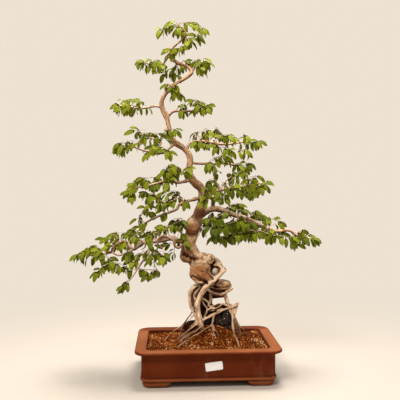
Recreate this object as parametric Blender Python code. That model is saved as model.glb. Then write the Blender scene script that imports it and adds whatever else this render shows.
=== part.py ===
"""Korean hornbeam bonsai on bare raised roots, resting in a rectangular clay pot.

Sizes are in millimetres, and MM turns them into metres when a mesh is made. The tree is laid out
on its front elevation, as (x, depth, z): x to the right and z up are read on the plane through the
middle of the pot, and depth moves the point away from the viewer along the line of sight from EYE,
so that the front view stays as it was laid out.
"""

import math
import random

import bmesh
import bpy
from mathutils import Matrix, Vector
from mathutils.bvhtree import BVHTree

MM = 0.001
CLEARANCE = 0.35
EYE = Vector((-83.0, -1190.0, 411.0))

# Pot
POT_WIDTH = 300.0
POT_DEPTH = 204.0
POT_HEIGHT = 76.0
POT_CORNER = 26.0
LIP_TOP = 24.0
LIP_FACE = 6.0
WALL_INSET = 13.0
BELT_LOW = 15.0
BELT_HIGH = 26.0
FOOT_HEIGHT = 13.6
UNDERSIDE = 14.0
FLOOR_TOP = 25.0
FOOT_LENGTH = 44.0
FOOT_SWEEP = 19.0
SKIRT_THICKNESS = 20.0
DRAIN_RADIUS = 11.0
DRAIN_OFFSET = 68.0
SCREEN_SIDE = 34.0
SCREEN_THICKNESS = 1.0
SCREEN_HOLES = 2
SCREEN_HOLE = 12.0

# Soil
SOIL_EDGE = 70.0
MOUND_HEIGHT = 28.0
MOUND_CENTRE = (8.0, -4.0)
MOUND_REACH = (52.0, 38.0)
GRAIN_RELIEF = 0.9
SOIL_RINGS = (1.0, 0.9, 0.78, 0.65, 0.52, 0.40, 0.28, 0.17, 0.07)

# Wood: how far apart the rings of its tubes are, and how many sides they have
TRUNK_STEP = 18.0
BRANCH_STEP = 14.0
TRUNK_SIDES = 8
THICK_ROOT = 3.0
THICK_ROOT_SIDES = 6
THIN_ROOT_SIDES = 4
BRANCH_SIDES = 5

# Label, blank paper
LABEL_WIDTH = 35.0
LABEL_HEIGHT = 17.0
LABEL_THICKNESS = 0.5
LABEL_X = 12.0
LABEL_Z = 44.0
LABEL_TILT = 7.0

# Leaves: TEETH is the blade's outline, as shares of its length and half its width. The clusters of
# a branch are counted in cycles, of which some are left bare and some carry a second leaf.
LEAF_LENGTH = 22.0
LEAF_WIDTH = 10.5
LEAF_THICKNESS = 1.1
LEAF_FOLD = 0.28
LEAF_DROOP = 0.16
LEAF_SIZES = (0.88, 1.05)
LEAF_HANG = (25.0, 55.0)
LEAF_TURN = 0.4
SIDE_LEAF_TURN = 1.4
SIDE_LEAF_PLACE = 0.7
TWIG_RADIUS = 1.1
TWIG_ARCH = 0.10
TRIES = 12
TEETH = ((0.16, 0.66), (0.40, 1.0), (0.47, 0.80), (0.74, 0.62))
CLUSTER_CYCLE = 5
LEFT_BARE = (2, 4)
TWO_LEAVES = (0, 3)
STRAIGHT_TWIG = 30.0
STALK = 3.5

# The trunk's middle line from the knotted base to the apex: x, depth, z, radius
TRUNK = (
    (-6, 2, 212, 19), (-14, 0, 236, 20), (-31, 0, 256, 18), (-35, -2, 271, 16.5),
    (-33, -4, 291, 14.5), (-30, -4, 311, 14), (-25, -2, 328, 13.5), (-17, 1, 340, 13),
    (-11, 4, 354, 12), (-7, 8, 370, 11), (-7, 8, 384, 10.3), (-11, 6, 398, 9.6),
    (-22, 3, 410, 9), (-32, -1, 421, 8.4), (-37, -4, 433, 7.9), (-36, -6, 446, 7.4),
    (-35, -8, 461, 7), (-40, -8, 477, 6.6), (-53, -6, 489, 6.3), (-68, -3, 499, 6),
    (-77, 0, 514, 5.7), (-81, 2, 534, 5.4), (-85, 4, 552, 5.2), (-93, 3, 568, 5),
    (-96, 0, 582, 4.8), (-91, -3, 595, 4.6), (-79, -6, 610, 4.4), (-66, -8, 622, 4.2),
    (-53, -9, 630, 4), (-40, -8, 638, 3.9), (-31, -6, 648, 3.8), (-37, -4, 657, 3.6),
    (-47, -2, 662, 3.4), (-61, -1, 667, 3.2), (-73, 0, 674, 3), (-80, -1, 682, 2.9),
    (-77, -3, 691, 2.8), (-69, -5, 701, 2.7), (-59, -6, 710, 2.6), (-49, -7, 719, 2.4),
    (-43, -8, 727, 2.2), (-46, -8, 736, 2),
)

# Swellings of the knotted base: middle (x, depth, z), radii
KNOTS = (
    ((-4, -6, 226), (22, 19, 21)), ((-30, 4, 248), (16, 14, 10)), ((5, -8, 247), (10, 9, 8)),
    ((14, -6, 238), (9, 9, 7)), ((26, -7, 228), (11, 8, 8)), ((-13, -16, 203), (14, 9, 6.5)),
    ((2, 4, 200), (20, 15, 14)), ((36, 0, 197), (19, 15, 11)),
)

# Roots: points (x, depth, z), then the radius at the start and at the end
ROOTS = {
    "strap": (((47, -17, 229), (34, -23, 217), (22, -27, 207), (2, -28, 190), (-11, -26, 172),
               (-18, -23, 150), (-16, -21, 125), (-11, -19, 104), (-9, -17, 84)), 5.8, 6.2),
    "left_loop": (((-14, -8, 196), (-29, -9, 188), (-37, -10, 180), (-38, -10, 164),
                   (-36, -10, 149), (-31, -11, 139), (-25, -14, 129), (-19, -17, 108)), 3.6, 4.0),
    "inner_left": (((-12, -6, 190), (-27, -7, 168), (-22, -9, 159), (-25, -10, 148),
                    (-29, -10, 138)), 3.2, 2.6),
    "cross": (((58, -7, 184), (43, -11, 175), (30, -11, 172), (14, -8, 176), (0, -2, 184)), 2.4, 5),
    "upper_leg": (((40, -7, 176), (43, -6, 162), (47, -6, 146)), 4.2, 3.6),
    "thin_bridge": (((-12, -20, 164), (-2, -14, 157), (9, -9, 150)), 1.6, 1.4),
    "bridge": (((2, -10, 144), (14, -11, 143), (30, -9, 149), (46, -7, 147)), 1.8, 3),
    "fork_high": (((-10, -20, 158), (1, -15, 138), (-5, -18, 119)), 1.7, 1.7),
    "fork_right": (((1, -15, 138), (14, -13, 136), (32, -9, 141)), 1.7, 2),
    "diagonal": (((-10, -18, 113), (14, -13, 127), (32, -10, 135), (50, -8, 143), (64, -6, 147),
                  (73, -5, 150)), 3.2, 4.6),
    "leg_front": (((48, -8, 142), (53, -13, 119), (57, -18, 105), (60, -21, 90), (65, -25, 79),
                   (70, -28, 64)), 3.6, 2.2),
    "leg_back": (((60, -6, 144), (62, -4, 120), (67, -2, 101), (72, 1, 82)), 3.2, 2.2),
    "leg_far": (((62, -4, 120), (71, 4, 104), (84, 14, 88), (96, 20, 72)), 2.2, 1.7),
    "middle": (((17, -13, 128), (13, -16, 105), (17, -20, 84), (20, -22, 74)), 2.6, 2.0),
    "middle_left": (((13, -16, 104), (-4, -22, 94), (-22, -27, 80)), 2.0, 1.6),
    "spread_a": (((-31, -11, 134), (-49, 0, 107), (-66, 8, 96), (-80, 14, 84), (-92, 16, 70)), 2.4, 1.6),
    "spread_b": (((-27, -14, 128), (-44, -6, 108), (-53, 4, 96), (-60, 10, 80)), 2.4, 1.6),
    "spread_c": (((-19, -17, 108), (-34, -14, 98), (-44, -12, 87), (-56, -10, 72)), 2.6, 1.8),
    "spread_d": (((-12, -19, 103), (-26, -24, 91), (-40, -27, 82), (-55, -29, 72), (-70, -31, 58)),
                 2.8, 1.8),
    "spread_e": (((4, -18, 100), (-9, -30, 91), (-25, -40, 82), (-36, -44, 74), (-52, -48, 64),
                  (-68, -50, 52)), 2.4, 1.8),
    "back_left": (((-6, 8, 196), (-14, 16, 160), (-18, 20, 125), (-30, 27, 100), (-46, 36, 74)), 6, 3),
    "back_middle": (((4, 10, 192), (6, 18, 150), (0, 21, 115), (6, 26, 76)), 6.5, 4),
    "back_right": (((44, -6, 150), (52, 10, 126), (56, 24, 104), (66, 36, 78)), 4, 2.4),
}

# Stones held by the roots: middle (x, depth, z), radii
PEBBLE = ((20.5, -17, 220.5), (6.2, 5.5, 7.6))
ROOT_STONE = ((37, 5, 108), (19, 14, 22))

# Branches, named by side and level from the top. Each has its path (x, depth, z) from the trunk's
# middle line, its radius at the start and at the end, how far its clusters spread in depth, and its
# leaf clusters (x, z), or (x, z, depth) where one hangs at a depth of its own.
BRANCHES = {
    "apex": (((-46, -8, 734), (-52, -8, 742), (-61, -8, 748)), 2.0, 1.2, 20, (
        (-75, 750), (-90, 735), (-60, 742), (-35, 750), (-15, 737), (-20, 720), (-40, 712),
        (-57, 695), (-77, 690))),
    "left_1": (((-80, -1, 682), (-92, -6, 665), (-109, -8, 662), (-128, -4, 666)), 2.2, 1.2, 20, (
        (-137, 671), (-120, 668), (-102, 671), (-90, 660))),
    "middle_1": (((-61, -1, 667), (-66, 14, 660), (-70, 26, 648)), 2.0, 1.2, 12, (
        (-80, 650, 24), (-62, 656, 34), (-48, 670, 22), (-90, 643, 14), (-66, 636, 30))),
    "right_1": (((-31, -6, 648), (-20, 2, 663), (-3, 6, 672)), 2.2, 1.2, 20, (
        (-35, 668, 16), (-20, 670), (-5, 675), (3, 665), (-14, 655))),
    "middle_2": (((-79, -6, 610), (-72, -18, 616), (-66, -24, 614)), 1.8, 1.2, 8, (
        (-83, 620, -12), (-66, 618, -26), (-70, 600, -20), (-56, 601, -18))),
    "left_2": (((-94, 2, 570), (-106, 0, 575), (-142, -3, 570), (-160, -2, 572), (-181, 2, 575)),
               2.6, 1.3, 26, (
        (-192, 580), (-175, 581), (-160, 582), (-145, 585), (-175, 568), (-157, 569))),
    "right_2": (((-85, 4, 550), (-69, 0, 564), (-44, -4, 565), (-28, -4, 566), (-17, -2, 572),
                 (0, 2, 578)), 2.6, 1.3, 26, (
        (7, 580), (-10, 584), (-25, 586), (-48, 580), (-5, 569), (-22, 569))),
    "left_3": (((-66, -3, 498), (-79, -8, 487), (-87, -10, 479), (-100, -12, 476), (-129, -12, 480),
                (-157, -6, 489), (-178, 0, 486)), 3.4, 1.3, 38, (
        (-188, 486), (-176, 484), (-165, 500), (-145, 521), (-126, 516), (-105, 515), (-141, 494),
        (-120, 490), (-100, 486), (-125, 474), (-80, 476, -22), (-85, 522, -20), (-69, 524, -22))),
    "right_3": (((-42, -8, 480), (-37, -4, 496), (-24, 0, 500), (-7, 2, 501), (14, 0, 498),
                 (39, -4, 495), (66, -2, 498), (92, 2, 502)), 3.6, 1.3, 38, (
        (100, 500), (81, 516), (56, 507), (36, 511), (16, 506), (20, 526), (-1, 526), (-22, 514),
        (-19, 499, -20), (-3, 498), (21, 490), (50, 484), (81, 481))),
    "right_4": (((-35, -8, 455), (-9, -4, 453), (4, 0, 454), (20, 4, 452), (42, 6, 454),
                 (78, 4, 448)), 3.0, 1.3, 34, (
        (86, 454), (65, 451), (42, 462), (25, 466), (10, 447), (20, 431))),
    "left_4": (((-30, 0, 419), (-59, -6, 413), (-78, -10, 416), (-104, -10, 412), (-126, -6, 406),
                (-149, -2, 402), (-162, 2, 397)), 3.8, 1.3, 44, (
        (-167, 399), (-160, 387), (-150, 405), (-135, 420), (-124, 416), (-105, 421), (-95, 436),
        (-76, 448), (-60, 445), (-80, 430), (-115, 405), (-85, 414), (-40, 440, -24))),
    "right_5": (((-8, 8, 388), (16, 2, 393), (47, 0, 400), (77, 2, 404), (107, 4, 410),
                 (124, 4, 410)), 4.2, 1.3, 50, (
        (127, 414), (120, 401), (106, 425), (90, 420), (74, 435), (56, 430), (40, 411), (20, 416),
        (4, 415), (98, 396), (76, 394), (52, 396), (26, 394), (2, 395, -26), (-5, 376, -26),
        (16, 376), (40, 380))),
    "left_5": (((-13, 4, 380), (-52, -16, 369), (-65, -20, 355), (-88, -22, 346), (-107, -20, 339),
                (-126, -16, 329), (-141, -12, 320)), 3.6, 1.4, 44, (
        (-142, 338), (-130, 355), (-125, 386), (-105, 387), (-88, 388), (-60, 390), (-100, 366),
        (-75, 370), (-46, 374, -34), (-96, 350))),
    "left_low": (((-30, -4, 300), (-57, -10, 287), (-74, -14, 294), (-93, -14, 290), (-106, -12, 288),
                  (-134, -8, 286), (-157, -6, 271), (-172, -8, 284), (-191, -8, 282), (-199, -6, 267),
                  (-214, -4, 262), (-236, 0, 259), (-256, 2, 257)), 6.5, 1.4, 58, (
        (-282, 257), (-266, 264), (-254, 266), (-240, 275), (-225, 271), (-215, 290), (-225, 258),
        (-205, 276), (-201, 303), (-185, 290), (-169, 300), (-155, 310), (-137, 306), (-120, 306),
        (-104, 306), (-87, 314), (-70, 320), (-50, 330), (-145, 291), (-125, 288), (-165, 284),
        (-166, 261), (-148, 257), (-132, 261), (-113, 256), (-94, 255), (-75, 260),
        (-50, 287, -30), (-231, 223), (-209, 231), (-195, 237), (-172, 229), (-157, 244),
        (-170, 201, -24), (-143, 226, -12), (-124, 213, -30), (-169, 187, -18), (-106, 224, -20),
        (-119, 241, -28))),
    "right_low": (((-18, 2, 338), (7, -4, 354), (24, -6, 356), (43, -6, 350), (59, -4, 344),
                   (78, 0, 338), (94, 2, 332), (107, 2, 326), (137, 0, 311), (156, -2, 307),
                   (180, -2, 309), (195, 0, 299), (215, 2, 293), (229, 2, 291)), 7, 1.4, 58, (
        (234, 290), (215, 294), (205, 305), (190, 281), (181, 291), (165, 304), (155, 325),
        (146, 295), (135, 306), (124, 320), (115, 336), (100, 345), (77, 350), (63, 362),
        (49, 360), (106, 305), (86, 300), (70, 301), (101, 321), (85, 326), (70, 330), (55, 320),
        (46, 297), (22, 297), (34, 317), (14, 314), (26, 336), (9, 334), (-6, 330, 14),
        (-5, 311, 22))),
}

# Limbs that fork from a branch: points (x, depth, z), then the radius at the start and at the end
LIMBS = {
    "left_low": (((-122, -9, 287), (-124, -14, 262), (-136, -18, 245), (-148, -20, 227),
                  (-157, -20, 213), (-166, -20, 202)), 2.8, 1.2),
    "left_3": (((-93, -11, 477), (-102, 2, 500), (-125, 8, 509), (-143, 6, 516)), 2.0, 1.2),
    "left_4": (((-59, -6, 413), (-70, 4, 428), (-92, 10, 432)), 2.0, 1.2),
    "right_5": (((30, 1, 397), (40, 10, 414), (60, 12, 430)), 2.2, 1.2),
}


def seen(x, depth, z):
    """The place, in millimetres, of a front-elevation point at that depth."""
    reach = (depth - EYE.y) / -EYE.y
    return Vector((EYE.x + (x - EYE.x) * reach, depth, EYE.z + (z - EYE.z) * reach))


def material(name, colour, roughness, metallic=0.0):
    """A plain Principled material. The colour is linear RGB."""
    made = bpy.data.materials.new(name)
    made.use_nodes = True
    shader = made.node_tree.nodes["Principled BSDF"]
    shader.inputs["Base Color"].default_value = (*colour, 1.0)
    shader.inputs["Roughness"].default_value = roughness
    shader.inputs["Metallic"].default_value = metallic
    return made


def body(name, vertices, faces, finish=None):
    """A mesh object from points in millimetres, with its faces turned outwards."""
    mesh = bpy.data.meshes.new(name)
    mesh.from_pydata([Vector(v) * MM for v in vertices], [], faces)
    shape = bmesh.new()
    shape.from_mesh(mesh)
    bmesh.ops.recalc_face_normals(shape, faces=shape.faces)
    shape.to_mesh(mesh)
    shape.free()
    made = bpy.data.objects.new(name, mesh)
    bpy.context.scene.collection.objects.link(made)
    if finish:
        mesh.materials.append(finish)
    return made


def loft(rings):
    """Vertices and faces through rings of equal length, with both ends closed."""
    count = len(rings[0])
    vertices = [point for ring in rings for point in ring]
    faces = [tuple(range(count))]
    for ring in range(len(rings) - 1):
        for i in range(count):
            j = (i + 1) % count
            low, high = ring * count, (ring + 1) * count
            faces.append((low + i, low + j, high + j, high + i))
    faces.append(tuple(range((len(rings) - 1) * count, len(rings) * count)))
    return vertices, faces


def rounded_rectangle(inset, z, steps=4):
    """The pot's outline at a height, moved in by inset. Its corners tighten as it shrinks."""
    radius = max(POT_CORNER - 0.6 * inset, 8.0)
    half_x = POT_WIDTH / 2 - inset - radius
    half_y = POT_DEPTH / 2 - inset - radius
    ring = []
    for quarter, (sx, sy) in enumerate(((1, 1), (-1, 1), (-1, -1), (1, -1))):
        for step in range(steps + 1):
            angle = math.radians(90 * (quarter + step / steps))
            ring.append((sx * half_x + radius * math.cos(angle),
                         sy * half_y + radius * math.sin(angle), z))
    return ring


def smooth_path(points, step):
    """Points about a step apart on a Catmull-Rom curve. Each point may carry a radius as a fourth value."""
    points = [Vector(p) for p in points]
    size = len(points[0])
    padded = [points[0] * 2 - points[1]] + points + [points[-1] * 2 - points[-2]]
    path = []
    for a, b, c, d in zip(padded, padded[1:], padded[2:], padded[3:]):
        pieces = max(1, round((c - b).length / step))
        for i in range(pieces):
            t = i / pieces
            path.append(Vector([
                0.5 * (2 * b[k] + (c[k] - a[k]) * t + (2 * a[k] - 5 * b[k] + 4 * c[k] - d[k]) * t ** 2
                       + (3 * b[k] - a[k] - 3 * c[k] + d[k]) * t ** 3) for k in range(size)]))
    path.append(points[-1])
    return path


def tube_rings(path, radii, sides):
    """Rings round a path, kept from twisting by carrying one side direction along it."""
    side = Vector((0, 1, 0))
    rings = []
    for i, point in enumerate(path):
        along = (path[min(i + 1, len(path) - 1)] - path[max(i - 1, 0)]).normalized()
        side = (side - along * side.dot(along)).normalized()
        other = along.cross(side)
        rings.append([point + (side * math.cos(math.tau * k / sides)
                               + other * math.sin(math.tau * k / sides)) * radii[i]
                      for k in range(sides)])
    return rings


def tube(name, path, radii, sides):
    return body(name, *loft(tube_rings(path, radii, sides)))


def tapered(path, start, end):
    """Radii that run evenly from start to end."""
    last = max(len(path) - 1, 1)
    return [start + (end - start) * i / last for i in range(len(path))]


def pebble_shape(name, centre, radii, detail, bumps, swell=0.0):
    """An ellipsoid, lightly dented by a sum of waves, and grown all round by swell."""
    shape = bmesh.new()
    bmesh.ops.create_icosphere(shape, subdivisions=detail, radius=1.0)
    centre = Vector(centre)
    vertices = []
    for vertex in shape.verts:
        p = vertex.co
        dent = 1 + bumps * math.sin(4 * p.x + 2 * centre.x) * math.sin(4 * p.y + centre.z) \
            + bumps * math.sin(5 * p.z + centre.x)
        vertices.append(centre + Vector([p[k] * (radii[k] * dent + swell) for k in range(3)]))
    faces = [[v.index for v in face.verts] for face in shape.faces]
    shape.free()
    return body(name, vertices, faces)


def apply_modifiers(made):
    """Replaces an object's mesh by what its modifiers make of it."""
    view = bpy.context.evaluated_depsgraph_get()
    baked = bpy.data.meshes.new_from_object(made.evaluated_get(view))
    made.modifiers.clear()
    made.data = baked


def remove(objects):
    for made in objects:
        bpy.data.objects.remove(made)


def boolean(made, others, operation, solver="EXACT"):
    """Joins or cuts with every object in others at once, then removes them."""
    group = bpy.data.collections.new("operands")
    bpy.context.scene.collection.children.link(group)
    for other in others:
        group.objects.link(other)
        bpy.context.scene.collection.objects.unlink(other)
    step = made.modifiers.new(operation.lower(), "BOOLEAN")
    step.operation = operation
    step.operand_type = "COLLECTION"
    step.collection = group
    step.solver = solver
    apply_modifiers(made)
    remove(list(group.objects))
    bpy.data.collections.remove(group)


def face_groups(shape):
    """The faces of a bmesh in groups that hang together along edges, smallest first."""
    groups = []
    left = set(shape.faces)
    while left:
        found = [left.pop()]
        for face in found:
            for edge in face.edges:
                for neighbour in edge.link_faces:
                    if neighbour in left:
                        left.remove(neighbour)
                        found.append(neighbour)
        groups.append(found)
    return sorted(groups, key=len)


def keep_largest(made):
    """Drops loose scraps, and fills any hollow that joining has sealed."""
    shape = bmesh.new()
    shape.from_mesh(made.data)
    bmesh.ops.dissolve_degenerate(shape, dist=1e-6, edges=shape.edges)
    scraps = [face for group in face_groups(shape)[:-1] for face in group]
    bmesh.ops.delete(shape, geom=scraps, context="FACES")
    shape.to_mesh(made.data)
    shape.free()


def finish_body(made, look):
    """Gives a finished body its one material and smooth shading with crisp edges."""
    made.data.materials.clear()
    made.data.materials.append(look)
    made.data.shade_smooth()
    made.data.set_sharp_from_angle(angle=math.radians(50))


def pot_profile():
    """(inset, height) from the underside's middle, out and up the wall, over the lip and down inside."""
    foot_inset = WALL_INSET + 2
    belt_middle = (BELT_LOW + BELT_HIGH) / 2
    neck = POT_HEIGHT - LIP_FACE
    outer = [(foot_inset + SKIRT_THICKNESS, UNDERSIDE), (foot_inset + SKIRT_THICKNESS, 0),
             (foot_inset + 3, 0), (foot_inset + 0.6, 4), (foot_inset, BELT_LOW - 1),
             (WALL_INSET - 1.4, BELT_LOW + 1), (WALL_INSET - 2.2, belt_middle),
             (WALL_INSET - 1.4, BELT_HIGH - 1.5), (WALL_INSET, BELT_HIGH + 1),
             (WALL_INSET, neck - 13)]
    cavetto = [(WALL_INSET * math.cos(math.radians(a)) + 0.6, neck - 12 + 12 * math.sin(math.radians(a)))
               for a in (25, 65)]
    lip = [(0, neck), (0, POT_HEIGHT - 1.2), (1.2, POT_HEIGHT), (LIP_TOP - 1.5, POT_HEIGHT),
           (LIP_TOP, POT_HEIGHT - 1.5), (LIP_TOP + 3, FLOOR_TOP + 3), (LIP_TOP + 6, FLOOR_TOP)]
    return outer + cavetto + lip


def foot_gap(half_length, along_x):
    """The cutter between two feet: a low tunnel whose ends sweep up in a cloud curve."""
    foot = half_length - WALL_INSET - 2 - FOOT_LENGTH
    steps = 6
    curve = [(foot - FOOT_SWEEP * (1 - math.cos(math.radians(90 * i / steps))),
              FOOT_HEIGHT * (0.12 + 0.88 * math.sin(math.radians(90 * i / steps)) ** 1.5))
             for i in range(steps + 1)]
    outline = [(foot, -2)] + curve
    outline = outline + [(-a, z) for a, z in reversed(outline)]
    reach = max(POT_WIDTH, POT_DEPTH)
    if along_x:
        rings = [[(a, end, z) for a, z in outline] for end in (-reach, reach)]
    else:
        rings = [[(end, a, z) for a, z in outline] for end in (-reach, reach)]
    return body("foot_gap", *loft(rings))


def drain_hole(x, radius):
    ring = [(x + radius * math.cos(math.tau * k / 16), radius * math.sin(math.tau * k / 16))
            for k in range(16)]
    return body("drain", *loft([[(a, b, z) for a, b in ring] for z in (UNDERSIDE - 5, FLOOR_TOP + 5)]))


def make_pot(look):
    pot = body("pot", *loft([rounded_rectangle(inset, z) for inset, z in pot_profile()]))
    cutters = [foot_gap(POT_WIDTH / 2, True), foot_gap(POT_DEPTH / 2, False)]
    cutters += [drain_hole(x, DRAIN_RADIUS) for x in (-DRAIN_OFFSET, DRAIN_OFFSET)]
    boolean(pot, cutters, "DIFFERENCE")
    finish_body(pot, look)
    return pot


def make_screen(name, x, look):
    """A square mesh pad with a grid of holes, over one drain."""
    low = FLOOR_TOP + CLEARANCE
    half = SCREEN_SIDE / 2
    corners = ((-half, -half), (half, -half), (half, half), (-half, half))
    pad = body(name, *loft([[(x + a, b, z) for a, b in corners]
                            for z in (low, low + SCREEN_THICKNESS)]))
    pitch = SCREEN_SIDE / SCREEN_HOLES
    hole = SCREEN_HOLE / 2
    holes = []
    for i in range(SCREEN_HOLES):
        for j in range(SCREEN_HOLES):
            cx, cy = x - half + (i + 0.5) * pitch, -half + (j + 0.5) * pitch
            square = ((cx - hole, cy - hole), (cx + hole, cy - hole), (cx + hole, cy + hole),
                      (cx - hole, cy + hole))
            holes.append(body("hole", *loft([[(a, b, z) for a, b in square]
                                             for z in (low - 2, low + SCREEN_THICKNESS + 2)])))
    boolean(pad, holes, "DIFFERENCE")
    finish_body(pad, look)
    return pad


def soil_height(x, y):
    """The mound, with a light granular relief."""
    rise = math.exp(-((x - MOUND_CENTRE[0]) / MOUND_REACH[0]) ** 2
                    - ((y - MOUND_CENTRE[1]) / MOUND_REACH[1]) ** 2)
    grain = math.sin(0.9 * x + 0.4 * y) * math.sin(0.8 * y - 0.3 * x)
    return SOIL_EDGE + MOUND_HEIGHT * rise + GRAIN_RELIEF * grain


def make_soil(look, cutters):
    """The filling between the pot's inner walls, from its floor to the mound."""
    gap = CLEARANCE
    edge = rounded_rectangle(LIP_TOP + gap + 0.6, 0, steps=5)
    floor = rounded_rectangle(LIP_TOP + 6 + gap, FLOOR_TOP + gap, steps=5)
    side = [(x, y, FLOOR_TOP + 3 + gap) for x, y, z in rounded_rectangle(LIP_TOP + 3.4 + gap, 0, steps=5)]
    rings = [floor, side]
    for share in SOIL_RINGS:
        rings.append([(x * share, y * share, soil_height(x * share, y * share)) for x, y, z in edge])
    soil = body("soil", *loft(rings))
    half = SCREEN_SIDE / 2 + gap
    for x in (-DRAIN_OFFSET, DRAIN_OFFSET):
        square = ((x - half, -half), (x + half, -half), (x + half, half), (x - half, half))
        top = FLOOR_TOP + SCREEN_THICKNESS + 2 * gap
        cutters.append(body("pocket", *loft([[(a, b, z) for a, b in square]
                                             for z in (FLOOR_TOP - 2, top)])))
    boolean(soil, cutters, "DIFFERENCE")
    keep_largest(soil)
    finish_body(soil, look)
    return soil


def root_tubes(swell=0.0):
    """Every root as a closed tube, grown all round by swell."""
    made = []
    for name, (points, start, end) in ROOTS.items():
        path = smooth_path([seen(*p) for p in points], TRUNK_STEP)
        path[-1] += (path[-1] - path[-2]).normalized() * swell
        radii = [r + swell for r in tapered(path, start, end)]
        sides = THICK_ROOT_SIDES if start > THICK_ROOT else THIN_ROOT_SIDES
        made.append(tube(name, path, radii, sides))
    return made


def knot_bodies(swell=0.0):
    return [pebble_shape("knot", seen(*centre), radii, 2, 0.03, swell) for centre, radii in KNOTS]


def branch_path(points):
    return smooth_path([seen(*p) for p in points], BRANCH_STEP)


def cut_path(path, distance, gap):
    """A path in two, cut halfway along the first run that lies past a distance from its start."""
    walked = 0.0
    for i in range(1, len(path) - 1):
        walked += (path[i] - path[i - 1]).length
        if walked > distance:
            break
    cut = (path[i] + path[i + 1]) / 2
    along = (path[i + 1] - path[i]).normalized()
    return path[:i + 1] + [cut], [cut + along * gap] + path[i + 1:]


def trunk_radius_near(point):
    places = [(seen(x, depth, z), radius) for x, depth, z, radius in TRUNK]
    return min(places, key=lambda place: (place[0] - point).length)[1]


def split_branch(name):
    """The stub that stays on the trunk and the free stretch of a branch, each with its radii."""
    points, start, end = BRANCHES[name][:3]
    path = branch_path(points)
    radii = tapered(path, start, end)
    stub_length = 1.1 * trunk_radius_near(path[0]) + start
    stub, free = cut_path(path, stub_length, CLEARANCE)
    at_cut = radii[len(stub) - 1]
    return (stub, tapered(stub, start, at_cut)), (free, tapered(free, at_cut, end))


def make_trunk(look):
    """Trunk, knots, roots and the stub of every branch, grown as one."""
    path = smooth_path([(*seen(x, depth, z), radius) for x, depth, z, radius in TRUNK], TRUNK_STEP)
    trunk = tube("trunk_and_roots", [p.to_3d() for p in path], [p[3] for p in path], TRUNK_SIDES)
    stubs = [tube("stub", *split_branch(name)[0], BRANCH_SIDES) for name in BRANCHES]
    boolean(trunk, knot_bodies() + root_tubes() + stubs, "UNION")
    keep_largest(trunk)
    finish_body(trunk, look)
    return trunk


def foot_ring(point, along, across, radius):
    """Three points round a twig: low on the leaf's right, above it and low on its left."""
    right = (across - along * across.dot(along)).normalized()
    above = right.cross(along)
    return [point + (right - above * 0.5) * radius, point + above * radius,
            point - (right + above * 0.5) * radius]


def sprig(path, radii, outward, length, width):
    """A twig that runs into a folded, drooping, toothed blade: vertices and faces of one closed body."""
    across = outward.cross(Vector((0, 0, 1))).normalized()
    up = across.cross(outward)
    base = path[-1]

    def place(along, side, lift=0.0):
        fold = LEAF_FOLD * abs(side)
        droop = -LEAF_DROOP * length * along ** 2
        return base + outward * along * length + across * side + up * (fold + droop + lift)

    runs = [(b - a).normalized() for a, b in zip(path, path[1:])] + [outward]
    bends = [runs[0]] + [(a + b).normalized() for a, b in zip(runs, runs[1:])]
    rings = [foot_ring(point, along, across, radius)
             for point, along, radius in zip(path, bends, radii)]
    vertices, faces = loft(rings)
    faces.pop()
    first = len(vertices)
    right, top, left = range(first - 3, first)
    vertices += [place(t, w * width / 2) for t, w in TEETH] + [place(1, 0)]
    vertices += [place(t, -w * width / 2) for t, w in reversed(TEETH)]
    vertices += [place(0.42, 0, LEAF_THICKNESS / 2), place(0.42, 0, -LEAF_THICKNESS / 2)]
    rim = [right, *range(first, len(vertices) - 2), left]
    for crown, loop in ((len(vertices) - 2, rim + [top]), (len(vertices) - 1, rim)):
        faces += [(loop[i - 1], loop[i], crown) for i in range(len(loop))]
    return vertices, faces


def touches(vertices, faces, built):
    """True where a candidate crosses a body that is already built."""
    tree = BVHTree.FromPolygons([v * MM for v in vertices], faces)
    return any(tree.overlap(other) for other in built)


def cluster_depth(index, spread, nearest):
    """Clusters alternate in front of and behind their branch, never twice at one depth."""
    return nearest.y + spread * math.sin(2.4 * index + 0.8)


def nearest_on(skeleton, point):
    return min(skeleton, key=lambda place: (place - point).length)


def grow_twig(skeleton, target):
    """A twig from the nearest grown point to the target, slightly arched where it is long."""
    root = nearest_on(skeleton, target)
    reach = (target - root).length
    if reach < STRAIGHT_TWIG:
        return [root, target]
    return [root, (root + target) / 2 + Vector((0, 0, TWIG_ARCH * reach)), target]


def clear_sprig(path, heading, stalk, rng, neighbours, grown):
    """A twig or stalk with its leaf, turned until both are clear of the other bodies.

    The blade also keeps clear of what has grown on its own branch."""
    for attempt in range(TRIES):
        turn = heading + rng.uniform(-LEAF_TURN, LEAF_TURN) + (attempt % 2 * 2 - 1) * 0.05 * attempt
        drop = math.radians(rng.uniform(*LEAF_HANG))
        size = rng.uniform(*LEAF_SIZES)
        outward = Vector((math.cos(turn) * math.cos(drop), math.sin(turn) * math.cos(drop),
                          -math.sin(drop)))
        route = path + [path[-1] + outward * stalk] if stalk else path
        radii = tapered(route, TWIG_RADIUS * (0.8 if stalk else 1.4), TWIG_RADIUS * 0.75)
        vertices, faces = sprig(route, radii, outward, LEAF_LENGTH * size, LEAF_WIDTH * size)
        blade = faces[3 * len(route) - 2:]
        if not touches(vertices, faces, neighbours) and not touches(vertices, blade, grown):
            return vertices, faces
    return None


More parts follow.
